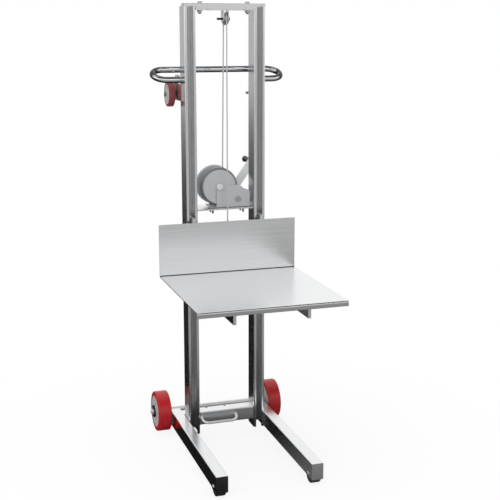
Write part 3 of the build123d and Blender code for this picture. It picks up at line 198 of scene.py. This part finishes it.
# A second value for part of a finish, which takes over between two distances from a line or plane
def change_by_distance(finish, socket, value, line_point, across, start, end, in_front_of=None):
    tree = finish.node_tree
    shader = tree.nodes["Principled BSDF"]
    place = add_node(tree, "ShaderNodeTexCoord", {})
    from_line = add_node(
        tree, "ShaderNodeVectorMath", {0: place.outputs["Object"], 1: line_point}, operation="SUBTRACT")
    flat = add_node(
        tree, "ShaderNodeVectorMath", {0: from_line.outputs["Vector"], 1: across}, operation="MULTIPLY")
    distance = add_node(tree, "ShaderNodeVectorMath", {0: flat.outputs["Vector"]}, operation="LENGTH")
    share = add_node(tree, "ShaderNodeMapRange", {
        "Value": distance.outputs["Value"], "From Min": start, "From Max": end}).outputs["Result"]
    if in_front_of is not None:
        axes = add_node(tree, "ShaderNodeSeparateXYZ", {"Vector": place.outputs["Object"]})
        in_front = add_node(
            tree, "ShaderNodeMath", {0: axes.outputs["Y"], 1: in_front_of}, operation="LESS_THAN")
        share = add_node(
            tree, "ShaderNodeMath", {0: share, 1: in_front.outputs[0]}, operation="MULTIPLY").outputs[0]
    plain = shader.inputs[socket].links[0].from_socket
    kind = "FLOAT" if socket == "Roughness" else "RGBA"
    mixed = add_node(tree, "ShaderNodeMix", {"Factor": share, "A": plain, "B": value}, data_type=kind)
    tree.links.new(mixed.outputs["Result"], shader.inputs[socket])


# The drum's colour turns darker in a band round the rounded rim of its front flange.
RIM_WIDTH = 9 * MM
RIM_FADE = 1.5 * MM
FRONT_FLANGE = 8 * MM
drum_paint = grained_finish("drum_silver_paint_dark_rim", *SILVER)
drum_low, drum_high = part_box("drum")
rim_start = (drum_high.x - drum_low.x) / 2 - RIM_WIDTH
change_by_distance(
    drum_paint, "Base Color", linear("#848587"), (drum_low + drum_high) / 2, (1, 0, 1),
    rim_start, rim_start + RIM_FADE, in_front_of=drum_low.y + FRONT_FLANGE)

# Painted shade: a thin dark line is drawn along the tray's inside fold.
TRAY_SHEET = 3 * MM
TRAY_TOP = 648 * MM
FOLD_SHADE_START, FOLD_SHADE_END = 3 * MM, 1.5 * MM
tray_low, tray_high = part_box("tray")
fold = Vector((0, tray_high.y - TRAY_SHEET, TRAY_TOP))
change_by_distance(tray_steel, "Base Color", linear("#3C3C3D"), fold, (0, 1, 1), FOLD_SHADE_START, FOLD_SHADE_END)

# Painted shade: the front face of the tray's lip is tinted a shade darker than the sheet.
LIP_SHADE_START, LIP_SHADE_END = 2 * MM, 0.5 * MM
lip_front = Vector((0, tray_low.y, 0))
change_by_distance(
    tray_steel, "Base Color", linear("#CBCCCD"), lip_front, (0, 1, 0), LIP_SHADE_START, LIP_SHADE_END)

# Painted shade: a dark disc is drawn round each of the two small holes in the foot bar's top.
HOLES_X = (2.5 * MM, -68.5 * MM)
HOLES_Y = 198 * MM
HOLE_SHADE_START, HOLE_SHADE_END = 5 * MM, 4 * MM
for hole_x in HOLES_X:
    hole = Vector((hole_x, HOLES_Y, 0))
    change_by_distance(foot_steel, "Base Color", linear("#2A2A2B"), hole, (1, 1, 0), HOLE_SHADE_START, HOLE_SHADE_END)

# The legs' outer sides are polished finer, so they mirror the dark floor more sharply.
FACE_START, FACE_END = 1 * MM, 0.5 * MM
leg_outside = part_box("leg_right")[1].x
change_by_distance(
    leg_steel, "Roughness", 0.09, (0, 0, 0), (1, 0, 0), leg_outside - FACE_START, leg_outside - FACE_END)

# The brushing belt does not reach the web inside the masts, which stays dull as it was rolled.
MAST_WALL = 3 * MM
mast_web = Vector((0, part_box("mast_left")[1].y - MAST_WALL, 0))
change_by_distance(mast_steel, "Roughness", 0.34, mast_web, (0, 1, 0), FACE_START, FACE_END)

# Finishes by the CAD slot, and then for the nodes that have one of their own
slot_finish = {
    "stainless": mast_steel, "tray_stainless": tray_steel, "chrome": chrome, "winch_grey": winch_paint,
    "zinc": zinc, "dark_steel": black_steel, "rope_steel": rope_wire, "red_tread": rear_tread,
    "hub_grey": hub_paint, "black_grip": grip_plastic, "dark_nylon": roller_nylon, "friction_brown": lining,
}
node_finish = {
    "leg_left": leg_steel, "leg_right": leg_steel, "carriage_plate_left": leg_steel,
    "carriage_plate_right": leg_steel, "base_crossbar": foot_steel, "top_cap": bar_steel,
    "cap_tabs": bar_steel, "winch_shelf": bar_steel, "sheave_bracket": bar_steel,
    "cross_bar_lower": bar_steel, "cross_bar_upper": bar_steel, "lift_handle": rod_steel,
    "drum_shaft": rod_steel, "rear_axle": rod_steel, "sheave": zinc, "axle_washers": black_steel,
    "crank_arm": crank_enamel, "drum": drum_paint,
    "top_wheel_tyre_left": shaded_upper_tread, "top_wheel_tyre_right": shaded_upper_tread,
    "guide_rollers_left_lower": roller_zinc, "guide_rollers_left_upper": roller_zinc,
    "guide_rollers_right_lower": roller_zinc, "guide_rollers_right_upper": roller_zinc,
}
for subpart in frame["record"]["subparts"]:
    name = subpart["node"]
    for slot in nodes[name].material_slots:
        slot.material = node_finish.get(name, slot_finish[subpart["material_slot"]])


# Mesh work shared by the rope, the weld beads and the fasteners
X, Y, Z = Vector((1, 0, 0)), Vector((0, 1, 0)), Vector((0, 0, 1))


def spaced(corners, step, closed=False):
    if closed:
        corners = corners + corners[:1]
    points = []
    for a, b in zip(corners, corners[1:]):
        count = max(1, round((b - a).length / step))
        points += [a.lerp(b, i / count) for i in range(count)]
    return points if closed else points + corners[-1:]


def side_frames(points, closed):
    frames, side = [], None
    for i, point in enumerate(points):
        before = points[i - 1] if closed or i else point
        after = points[(i + 1) % len(points)] if closed or i + 1 < len(points) else point
        run = (after - before).normalized()
        side = run.orthogonal() if side is None else side - run * side.dot(run)
        side = side.normalized()
        frames.append((side, run.cross(side)))
    return frames


def skin_rings(bm, rings, closed=False):
    for a, b in zip(rings, rings[1:] + (rings[:1] if closed else [])):
        for k in range(len(a)):
            bm.faces.new((a[k], a[k - 1], b[k - 1], b[k]))
    if not closed:
        bm.faces.new(rings[0])
        bm.faces.new(rings[-1][::-1])


def tube_along(bm, points, radii, sides, closed=False):
    rings = []
    turns = [2 * math.pi * k / sides for k in range(sides)]
    for point, radius, (side, lift) in zip(points, radii, side_frames(points, closed)):
        outward = [side * math.cos(a) + lift * math.sin(a) for a in turns]
        rings.append([bm.verts.new(point + way * radius) for way in outward])
    skin_rings(bm, rings, closed)


def new_piece(name, bm, finish, crease=180):
    bmesh.ops.recalc_face_normals(bm, faces=bm.faces)
    mesh = bpy.data.meshes.new(name)
    bm.to_mesh(mesh)
    bm.free()
    mesh.materials.append(finish)
    mesh.shade_smooth()
    mesh.set_sharp_from_angle(angle=math.radians(crease))
    piece = bpy.data.objects.new(name, mesh)
    scene.collection.objects.link(piece)
    return piece


# Wire rope: six strands laid round a core, one full turn in about six diameters
ROPE_DIAMETER = 5 * MM
ROPE_LAY = 32 * MM
STRANDS = 6
STRAND_RADIUS = ROPE_DIAMETER / 6
STRAND_SIDES = 5
POINTS_A_LAY = 10
CORE_STEP = 4


def laid_rope(name, centre_line):
    step = ROPE_LAY / POINTS_A_LAY
    line = spaced(centre_line, step)
    frames = side_frames(line, False)
    bm = bmesh.new()
    for strand in range(STRANDS):
        centres = []
        for i, (point, (side, lift)) in enumerate(zip(line, frames)):
            turn = 2 * math.pi * (strand / STRANDS + i * step / ROPE_LAY)
            centres.append(point + (side * math.cos(turn) + lift * math.sin(turn)) * 2 * STRAND_RADIUS)
        tube_along(bm, centres, [STRAND_RADIUS] * len(centres), STRAND_SIDES)
    core = line[::CORE_STEP] + line[-1:]
    tube_along(bm, core, [STRAND_RADIUS] * len(core), STRAND_SIDES)
    return new_piece(name, bm, rope_wire)


rope_low, rope_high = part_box("rope_front_run")
rope_x = (rope_low.x + rope_high.x) / 2
rope_y = (rope_low.y + rope_high.y) / 2
rope_top = Vector((rope_x, rope_y, rope_high.z))
rope_foot = Vector((rope_x, rope_y, rope_low.z))
rope_to_carriage = laid_rope("rope_to_carriage", [rope_top, rope_foot])
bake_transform(rope_to_carriage)
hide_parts("rope_front_run")

# The run from the drum: straight up to the sheave, and over it to where the front run starts
SHEAVE_PITCH_RADIUS = 19.5 * MM
ARC_STEPS = 24
sheave_low, sheave_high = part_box("sheave")
sheave_y = (sheave_low.y + sheave_high.y) / 2
sheave_z = (sheave_low.z + sheave_high.z) / 2
rear_low, rear_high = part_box("rope_rear_run")
drum_y = rear_high.y - ROPE_DIAMETER / 2
drum_z = rear_low.z
reach = math.hypot(drum_y - sheave_y, drum_z - sheave_z)
leave = math.atan2(drum_z - sheave_z, drum_y - sheave_y) + math.acos(SHEAVE_PITCH_RADIUS / reach)
over_sheave = []
for i in range(ARC_STEPS + 1):
    turn = math.pi + (leave - math.pi) * i / ARC_STEPS
    y, z = math.cos(turn) * SHEAVE_PITCH_RADIUS, math.sin(turn) * SHEAVE_PITCH_RADIUS
    over_sheave.append(Vector((rope_x, sheave_y + y, sheave_z + z)))
rope_to_drum = laid_rope("rope_to_drum", over_sheave + [Vector((rope_x, drum_y, drum_z))])
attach(rope_to_drum, "frame")
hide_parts("rope_rear_run")


# Rope turns on the drum: one helix from the back flange to the place where the run leaves
winding_low, winding_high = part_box("rope_winding")
drum_x = (winding_low.x + winding_high.x) / 2
wound_radius = (winding_high.x - winding_low.x) / 2 - ROPE_DIAMETER / 2
first_turn_y = winding_high.y - ROPE_DIAMETER / 2
TURNS = 6
POINTS_A_TURN = 48
helix = []
for i in range(TURNS * POINTS_A_TURN + 1):
    turn = 2 * math.pi * i / POINTS_A_TURN
    y = first_turn_y + (drum_y - first_turn_y) * i / (TURNS * POINTS_A_TURN)
    x, z = drum_x + wound_radius * math.cos(turn), drum_z + wound_radius * math.sin(turn)
    helix.append(Vector((x, y, z)))
rope_on_drum = laid_rope("rope_on_drum", helix)
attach(rope_on_drum, "drum")
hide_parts("rope_winding")


# Weld beads: a small fillet of overlapping ripples along each seam
BEAD_RADIUS = 2.2 * MM
BEAD_RIPPLE = 3.0 * MM
BEAD_SIDES = 8
RIPPLE_POINTS = 3
RIPPLE_DEPTH = 0.14
RING_POINTS = 24


def run_bead(bm, corners, closed=False, radius=BEAD_RADIUS):
    points = spaced(corners, BEAD_RIPPLE / RIPPLE_POINTS, closed)
    swell = [abs(math.sin(math.pi * i / RIPPLE_POINTS)) for i in range(len(points))]
    radii = [radius * (1 - RIPPLE_DEPTH + RIPPLE_DEPTH * share) for share in swell]
    tube_along(bm, points, radii, BEAD_SIDES, closed)


# A bead in the plane of one X, through corners given as Y and Z
def seam(bm, x, *corners, closed=False):
    run_bead(bm, [Vector((x, y, z)) for y, z in corners], closed)


def ring(centre, radius, across, up):
    turns = [2 * math.pi * k / RING_POINTS for k in range(RING_POINTS)]
    return [centre + (across * math.cos(a) + up * math.sin(a)) * radius for a in turns]


# Beads stop short of an edge, and of the handle's stub, by these lengths.
END_CLEAR = 4 * MM
STUB_CLEAR = 15 * MM
HANDLE_TUBE_RADIUS = 11 * MM
frame_bead = bmesh.new()
bar_low, bar_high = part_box("base_crossbar")
bar_outline = [
    (bar_low.y, bar_low.z), (bar_high.y, bar_low.z), (bar_high.y, bar_high.z), (bar_low.y, bar_high.z)]
shelf_low, shelf_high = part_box("winch_shelf")
handle_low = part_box("push_handle")[0]
for side in ("left", "right"):
    mast_low, mast_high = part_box("mast_" + side)
    mast_outer, mast_inner = (mast_low.x, mast_high.x) if side == "left" else (mast_high.x, mast_low.x)
    leg_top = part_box("leg_" + side)[1].z
    for y in (mast_low.y, mast_high.y):
        seam(frame_bead, mast_outer, (y, leg_top), (y, mast_low.z + END_CLEAR))
    seam(frame_bead, mast_outer, (mast_low.y, leg_top), (mast_high.y, leg_top))
    seam(frame_bead, mast_inner, *bar_outline, closed=True)
    shelf_rear = min(shelf_high.y, mast_high.y)
    for z in (shelf_low.z, shelf_high.z):
        seam(frame_bead, mast_inner, (shelf_low.y, z), (shelf_rear, z))
    stub = Vector((mast_outer, handle_low.y + HANDLE_TUBE_RADIUS, handle_low.z + HANDLE_TUBE_RADIUS))
    run_bead(frame_bead, ring(stub, HANDLE_TUBE_RADIUS, Y, Z), closed=True)
    plate_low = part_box("wheel_bracket_" + side)[0]
    seam(frame_bead, mast_outer, (plate_low.y, plate_low.z), (plate_low.y, stub.z - STUB_CLEAR))
    seam(frame_bead, mast_outer, (plate_low.y, plate_low.z), (mast_high.y - END_CLEAR, plate_low.z))

LIFT_ROD_RADIUS = 5 * MM
ROD_RING_RADIUS = LIFT_ROD_RADIUS + 0.3 * MM
ROD_BEAD_RADIUS = 1.6 * MM
rod_low, rod_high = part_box("lift_handle")
for rod_x in (rod_low.x + LIFT_ROD_RADIUS, rod_high.x - LIFT_ROD_RADIUS):
    root = Vector((rod_x, rod_high.y, rod_high.z - LIFT_ROD_RADIUS))
    run_bead(frame_bead, ring(root, ROD_RING_RADIUS, X, Z), closed=True, radius=ROD_BEAD_RADIUS)
weld_on_frame = new_piece("weld_beads_frame", frame_bead, weld_steel)
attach(weld_on_frame, "frame")

ARM_DEPTH = 51 * MM
ARM_FRONT_CLEAR = 6 * MM
ARM_REAR_CLEAR = 8 * MM
BAR_FRONT_CLEAR = 2 * MM
carriage_bead = bmesh.new()
arm_bead_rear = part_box("cross_bar_lower")[0].y - ARM_REAR_CLEAR
for side in ("left", "right"):
    arm_low, arm_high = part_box("carriage_plate_" + side)
    arm_top = arm_low.z + ARM_DEPTH
    for x in (arm_low.x, arm_high.x):
        seam(carriage_bead, x, (arm_low.y + ARM_FRONT_CLEAR, arm_top), (arm_bead_rear, arm_top))
    arm_inner = arm_high.x if side == "left" else arm_low.x
    for bar in ("cross_bar_lower", "cross_bar_upper"):
        low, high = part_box(bar)
        for z in (low.z, high.z):
            seam(carriage_bead, arm_inner, (low.y + BAR_FRONT_CLEAR, z), (high.y, z))
        seam(carriage_bead, arm_inner, (high.y, low.z), (high.y, high.z))
weld_on_carriage = new_piece("weld_beads_carriage", carriage_bead, weld_steel)
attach(weld_on_carriage, "carriage")


# Fasteners: a cone trims the corners of each hexagon, and each thread is a helix of its real pitch
M10 = {"flats": 16 * MM, "head": 6.5 * MM, "nut": 8 * MM, "radius": 5 * MM, "pitch": 1.5 * MM}
M8 = {"flats": 13 * MM, "head": 5.5 * MM, "nut": 6.5 * MM, "radius": 4 * MM, "pitch": 1.25 * MM}
HEX_STEPS = 48
TURNED_SIDES = 32
# The chamfer starts at this share of the width across flats.
CHAMFER_START = 0.47
CHAMFER_ANGLE = math.radians(30)
# Steps in one pitch, and the thread's depth as a share of the pitch
THREAD_SIDES = 18
THREAD_STEPS = 6
THREAD_DEPTH = 0.6
CREASE = 25


def hexagon(bm, seat, axis, corner, flats, height):
    side = axis.cross(corner)
    sole, shoulder, crown = [], [], []
    for k in range(HEX_STEPS):
        turn = 2 * math.pi * k / HEX_STEPS
        outward = corner * math.cos(turn) + side * math.sin(turn)
        reach = flats / 2 / math.cos(turn % (math.pi / 3) - math.pi / 6)
        trim = (reach - CHAMFER_START * flats) * math.tan(CHAMFER_ANGLE)
        sole.append(bm.verts.new(seat + outward * reach))
        shoulder.append(bm.verts.new(seat + outward * reach + axis * (height - trim)))
        crown.append(bm.verts.new(seat + outward * CHAMFER_START * flats + axis * height))
    skin_rings(bm, [sole, shoulder, crown])


def turned(bm, start, axis, profile):
    across = axis.orthogonal().normalized()
    up = axis.cross(across)
    turns = [2 * math.pi * k / TURNED_SIDES for k in range(TURNED_SIDES)]
    outward = [across * math.cos(a) + up * math.sin(a) for a in turns]
    rings = []
    for along, radius in profile:
        rings.append([bm.verts.new(start + axis * along + way * radius) for way in outward])
    skin_rings(bm, rings)


def thread(bm, start, axis, length, size):
    across = axis.orthogonal().normalized()
    up = axis.cross(across)
    rings = []
    count = round(THREAD_STEPS * length / size["pitch"])
    for i in range(count + 1):
        along = length * i / count
        lead_in = max(0.0, along - length + size["pitch"]) * THREAD_DEPTH
        ring_points = []
        for k in range(THREAD_SIDES):
            turn = 2 * math.pi * k / THREAD_SIDES
            phase = (along / size["pitch"] - k / THREAD_SIDES) % 1
            radius = size["radius"] - size["pitch"] * THREAD_DEPTH * abs(2 * phase - 1) - lead_in
            outward = across * math.cos(turn) + up * math.sin(turn)
            ring_points.append(bm.verts.new(start + axis * along + outward * radius))
        rings.append(ring_points)
    skin_rings(bm, rings)


def bolt_and_nut(bm, head_seat, nut_seat, tail_end, corner, size):
    axis = (head_seat - nut_seat).normalized()
    hexagon(bm, head_seat, axis, corner, size["flats"], size["head"])
    hexagon(bm, nut_seat, -axis, corner, size["flats"], size["nut"])
    turned(bm, nut_seat, axis, [(0, size["radius"]), ((head_seat - nut_seat).length, size["radius"])])
    thread(bm, nut_seat, -axis, (nut_seat - tail_end).length, size)


def corner_reach(size):
    return size["flats"] / 2 / math.cos(math.pi / 6)


cap_set = bmesh.new()
low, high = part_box("cap_bolts")
tab_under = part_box("cap_tabs")[0].z
for x in (low.x + corner_reach(M10), high.x - corner_reach(M10)):
    axis_point = Vector((x, (low.y + high.y) / 2, 0))
    bolt_and_nut(cap_set, axis_point + Z * (high.z - M10["head"]), axis_point + Z * tab_under,
                 axis_point + Z * low.z, X, M10)
cap_bolt_set = new_piece("cap_bolt_set", cap_set, zinc, CREASE)
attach(cap_bolt_set, "frame")
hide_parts("cap_bolts")

winch_set = bmesh.new()
low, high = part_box("winch_bolts")
shelf_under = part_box("winch_shelf")[0].z
for x in (low.x + corner_reach(M8), high.x - corner_reach(M8)):
    for y in (low.y + M8["flats"] / 2, high.y - M8["flats"] / 2):
        axis_point = Vector((x, y, 0))
        bolt_and_nut(winch_set, axis_point + Z * (high.z - M8["head"]), axis_point + Z * shelf_under,
                     axis_point + Z * low.z, X, M8)
winch_bolt_set = new_piece("winch_bolt_set", winch_set, zinc, CREASE)
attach(winch_bolt_set, "frame")
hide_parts("winch_bolts")

UPPER_BOLT_HEAD = 6 * MM
UPPER_BOLT_TAIL = 26 * MM
wheel_set = bmesh.new()
low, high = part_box("top_wheel_bolts")
mast_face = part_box("mast_right")[1].x
axis_point = Vector((0, (low.y + high.y) / 2, (low.z + high.z) / 2))
for out in (-X, X):
    bolt_and_nut(wheel_set, axis_point + out * (high.x - UPPER_BOLT_HEAD), axis_point + out * mast_face,
                 axis_point + out * (mast_face - UPPER_BOLT_TAIL), Y, dict(M10, head=UPPER_BOLT_HEAD))
upper_wheel_bolt_set = new_piece("upper_wheel_bolt_set", wheel_set, zinc, CREASE)
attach(upper_wheel_bolt_set, "frame")
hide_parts("top_wheel_bolts")

# The sheave's pin: a hexagon head and a bare threaded tail, without a nut
PIN_TAIL = 19 * MM
pin = bmesh.new()
low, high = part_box("sheave_pin")
pin_tail = Vector((low.x + PIN_TAIL, sheave_y, sheave_z))
pin_head = Vector((high.x - M8["head"], sheave_y, sheave_z))
hexagon(pin, pin_head, X, Y, M8["flats"], M8["head"])
turned(pin, pin_tail, X, [(0, M8["radius"]), ((pin_head - pin_tail).length, M8["radius"])])
thread(pin, pin_tail, -X, PIN_TAIL, M8)
sheave_pin_bolt = new_piece("sheave_pin_bolt", pin, black_steel, CREASE)
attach(sheave_pin_bolt, "frame")
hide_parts("sheave_pin")

# Front roller bolts: low domed heads on both sides of each leg
ROLLER_BOLT = 6 * MM
DOME_RADIUS = 9 * MM
DOME_HEIGHT = 4 * MM
DOME_CREASE = 50
dome_angles = [math.radians(a) for a in range(0, 90, 10)]
dome = [(DOME_HEIGHT * math.sin(a), DOME_RADIUS * math.cos(a)) for a in dome_angles]
roller_set = bmesh.new()
low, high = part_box("front_roller_bolts")
for side in ("left", "right"):
    leg_low, leg_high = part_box("leg_" + side)
    place = Vector((leg_low.x, (low.y + high.y) / 2, (low.z + high.z) / 2))
    across_leg = leg_high.x - leg_low.x
    turned(roller_set, place, X, [(0, ROLLER_BOLT), (across_leg, ROLLER_BOLT)])
    turned(roller_set, place, -X, dome)
    turned(roller_set, place + X * across_leg, X, dome)
roller_bolt_set = new_piece("roller_bolt_set", roller_set, zinc, DOME_CREASE)
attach(roller_bolt_set, "frame")
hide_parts("front_roller_bolts")

# Split pins: one bent wire each, with an eye above the axle and its two legs spread below
WIRE_RADIUS = 0.95 * MM
WIRE_SIDES = 10
WIRE_CREASE = 60
EYE_RADIUS = 3.4 * MM
PIN_INSET = 2 * MM
# The bends of one leg in mm, as Y and Z from the middle of the pin
LEG_BENDS = [(7.5, -13.5), (5.5, -13.6), (3.2, -13.2), (1.6, -12), (0.95, -10.4)]
near_leg = [Y * y * MM + Z * z * MM for y, z in LEG_BENDS]
far_leg = [Vector((0, -point.y, point.z)) for point in reversed(near_leg)]
eye_angles = [math.radians(a) for a in range(20, 341, 20)]
eye = [Y * EYE_RADIUS * math.sin(a) - Z * EYE_RADIUS * math.cos(a) for a in eye_angles]
pin_bend = bmesh.new()
low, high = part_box("split_pins")
for x in (low.x + PIN_INSET, high.x - PIN_INSET):
    middle = Vector((x, (low.y + high.y) / 2, (low.z + high.z) / 2))
    eye_z = high.z - middle.z - EYE_RADIUS
    wire = near_leg + [point + Z * eye_z for point in eye] + far_leg
    tube_along(pin_bend, [middle + point for point in wire], [WIRE_RADIUS] * len(wire), WIRE_SIDES)
bent_split_pins = new_piece("bent_split_pins", pin_bend, zinc, WIRE_CREASE)
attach(bent_split_pins, "frame")
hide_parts("split_pins")


# Studio: a pale floor that keeps the shadow, a white surround, soft lamps, and cards for the metal
def new_sheet(name, corners, finish):
    mesh = bpy.data.meshes.new(name)
    mesh.from_pydata([Vector(corner) for corner in corners], [], [tuple(range(len(corners)))])
    mesh.materials.append(finish)
    sheet = bpy.data.objects.new(name, mesh)
    scene.collection.objects.link(sheet)
    return sheet


def square(half, z):
    return [(-half, -half, z), (half, -half, z), (half, half, z), (-half, half, z)]


def start_studio(name):
    finish = bpy.data.materials.new(name)
    finish.use_nodes = True
    finish.node_tree.nodes.clear()
    return finish, finish.node_tree


def directly_seen(tree):
    rays = add_node(tree, "ShaderNodeLightPath", {})
    camera_or_glossy = add_node(
        tree, "ShaderNodeMath",
        {0: rays.outputs["Is Camera Ray"], 1: rays.outputs["Is Glossy Ray"]}, operation="MAXIMUM")
    return add_node(
        tree, "ShaderNodeMath",
        {0: camera_or_glossy.outputs[0], 1: rays.outputs["Is Transmission Ray"]}, operation="MAXIMUM")


# The floor takes the shadow near the truck and turns to plain white away from it
floor_finish, tree = start_studio("studio_floor_pale")
place = add_node(tree, "ShaderNodeTexCoord", {})
distance = add_node(tree, "ShaderNodeVectorMath", {0: place.outputs["Object"]}, operation="LENGTH")
whiteness = add_node(tree, "ShaderNodeMapRange", {
    "Value": distance.outputs["Value"], "From Min": 0.3, "From Max": 1.3, "To Min": 0.88, "To Max": 1.0},
    interpolation_type="SMOOTHSTEP")
share = add_node(
    tree, "ShaderNodeMath",
    {0: directly_seen(tree).outputs[0], 1: whiteness.outputs["Result"]}, operation="MULTIPLY")
matt = add_node(tree, "ShaderNodeBsdfDiffuse", {"Color": linear("#F4F4F4")})
white = add_node(tree, "ShaderNodeEmission", {"Color": (1, 1, 1, 1), "Strength": 1.0})
both = add_node(tree, "ShaderNodeMixShader", {0: share.outputs[0], 1: matt.outputs[0], 2: white.outputs[0]})
add_node(tree, "ShaderNodeOutputMaterial", {"Surface": both.outputs[0]})
new_sheet("studio_floor", square(9, 0), floor_finish)

world = bpy.data.worlds.new("studio_surround")
scene.world = world
world.use_nodes = True
tree = world.node_tree
level = add_node(tree, "ShaderNodeMapRange", {
    "Value": directly_seen(tree).outputs[0], "To Min": 0.55, "To Max": 1.0})
tree.links.new(level.outputs["Result"], tree.nodes["Background"].inputs["Strength"])
tree.nodes["Background"].inputs["Color"].default_value = (1, 1, 1, 1)


# Cards that only the metal sees, which give it its darks: strength 1 is white
def metal_card(name, corners, finish):
    card = new_sheet(name, corners, finish)
    card.visible_camera = False
    card.visible_diffuse = False
    card.visible_shadow = False
    card.visible_transmission = False


def plain_card(name, strength, corners):
    finish, tree = start_studio(name)
    glow = add_node(tree, "ShaderNodeEmission", {"Color": (1, 1, 1, 1), "Strength": strength})
    add_node(tree, "ShaderNodeOutputMaterial", {"Surface": glow.outputs["Emission"]})
    metal_card(name, corners, finish)


# The floor card is dark under the truck and beside its left leg, grey in front of it,
# and paler to its right and far away
floor_card, tree = start_studio("studio_card_floor")
place = add_node(tree, "ShaderNodeTexCoord", {})
distance = add_node(tree, "ShaderNodeVectorMath", {0: place.outputs["Object"]}, operation="LENGTH")
axes = add_node(tree, "ShaderNodeSeparateXYZ", {"Vector": place.outputs["Object"]})
far = add_node(tree, "ShaderNodeMapRange", {
    "Value": distance.outputs["Value"], "From Min": 3.0, "From Max": 20.0, "To Min": 0.01, "To Max": 0.27},
    interpolation_type="SMOOTHSTEP")
near_front = add_node(tree, "ShaderNodeMapRange", {
    "Value": axes.outputs["Y"], "From Min": 0.3, "From Max": -1.0, "To Min": 0.0, "To Max": 0.3},
    interpolation_type="SMOOTHSTEP")
far_front = add_node(tree, "ShaderNodeMapRange", {
    "Value": axes.outputs["Y"], "From Min": -1.8, "From Max": -4.4, "To Min": 0.0, "To Max": 0.24},
    interpolation_type="SMOOTHSTEP")
oval = add_node(
    tree, "ShaderNodeVectorMath", {0: place.outputs["Object"], 1: (1, 0.45, 1)}, operation="MULTIPLY")
left_leg = add_node(
    tree, "ShaderNodeVectorMath", {0: oval.outputs["Vector"], 1: (-0.25, -0.11, 0)}, operation="DISTANCE")
clear_of_leg = add_node(tree, "ShaderNodeMapRange", {
    "Value": left_leg.outputs["Value"], "From Min": 0.18, "From Max": 0.34},
    interpolation_type="SMOOTHSTEP")
near = add_node(
    tree, "ShaderNodeMath",
    {0: near_front.outputs["Result"], 1: clear_of_leg.outputs["Result"]}, operation="MULTIPLY")
front = add_node(
    tree, "ShaderNodeMath", {0: near.outputs[0], 1: far_front.outputs["Result"]}, operation="ADD")
right_behind = add_node(
    tree, "ShaderNodeVectorMath", {0: place.outputs["Object"], 1: (1, 0.3, 0)}, operation="DOT_PRODUCT")
far_right = add_node(tree, "ShaderNodeMapRange", {
    "Value": right_behind.outputs["Value"], "From Min": 0.42, "From Max": 1.0,
    "To Min": 0.0, "To Max": 0.3},
    interpolation_type="SMOOTHSTEP")
outer = add_node(
    tree, "ShaderNodeMath", {0: far.outputs["Result"], 1: far_right.outputs["Result"]}, operation="MAXIMUM")
paleness = add_node(tree, "ShaderNodeMath", {0: outer.outputs[0], 1: front.outputs[0]}, operation="MAXIMUM")
glow = add_node(tree, "ShaderNodeEmission", {"Strength": paleness.outputs[0]})
add_node(tree, "ShaderNodeOutputMaterial", {"Surface": glow.outputs["Emission"]})
metal_card("studio_card_floor", square(16, 1 * MM), floor_card)
plain_card("studio_card_front", 0.47, [(-7, -7, 0), (7, -7, 0), (7, -7, 1.8), (-7, -7, 1.8)])
plain_card("studio_card_back_left", 0.5, [(-16, 16, 0), (-1, 16, 0), (-1, 16, 7), (-16, 16, 7)])
plain_card("studio_card_ceiling", 0.04, [(-4, -4, 4.5), (4, -4, 4.5), (4, 0.2, 4.5), (-4, 0.2, 4.5)])


def soft_lamp(name, place, target, size, watts):
    lamp = bpy.data.lights.new(name, "AREA")
    lamp.shape = "RECTANGLE"
    lamp.size, lamp.size_y = size
    lamp.energy = watts
    holder = bpy.data.objects.new(name, lamp)
    holder.location = place
    holder.rotation_euler = (Vector(target) - Vector(place)).to_track_quat("-Z", "Y").to_euler()
    holder.visible_glossy = False
    scene.collection.objects.link(holder)


soft_lamp("lamp_overhead", (-0.4, -0.6, 3.6), (0, 0, 0.6), (3.0, 3.0), 60)
soft_lamp("lamp_front_left", (-2.6, -2.6, 2.4), (0, 0, 0.8), (1.6, 2.2), 40)

# Camera, from the fit of the photograph's edges: sensor in mm, angles in degrees
FOCAL_PX = 1018.66
PICTURE_PX = 500
SENSOR = 36.0
LOOK_DOWN = 12.21
LOOK_RIGHT = 17.89
camera = bpy.data.cameras.new("camera")
camera.sensor_width = SENSOR
camera.lens = FOCAL_PX / PICTURE_PX * SENSOR
viewer = bpy.data.objects.new("camera", camera)
viewer.location = (-1.02836, -3.31178, 1.5037)
viewer.rotation_euler = (math.radians(90 - LOOK_DOWN), 0, math.radians(-LOOK_RIGHT))
scene.collection.objects.link(viewer)
scene.camera = viewer
scene.view_settings.view_transform = "Standard"
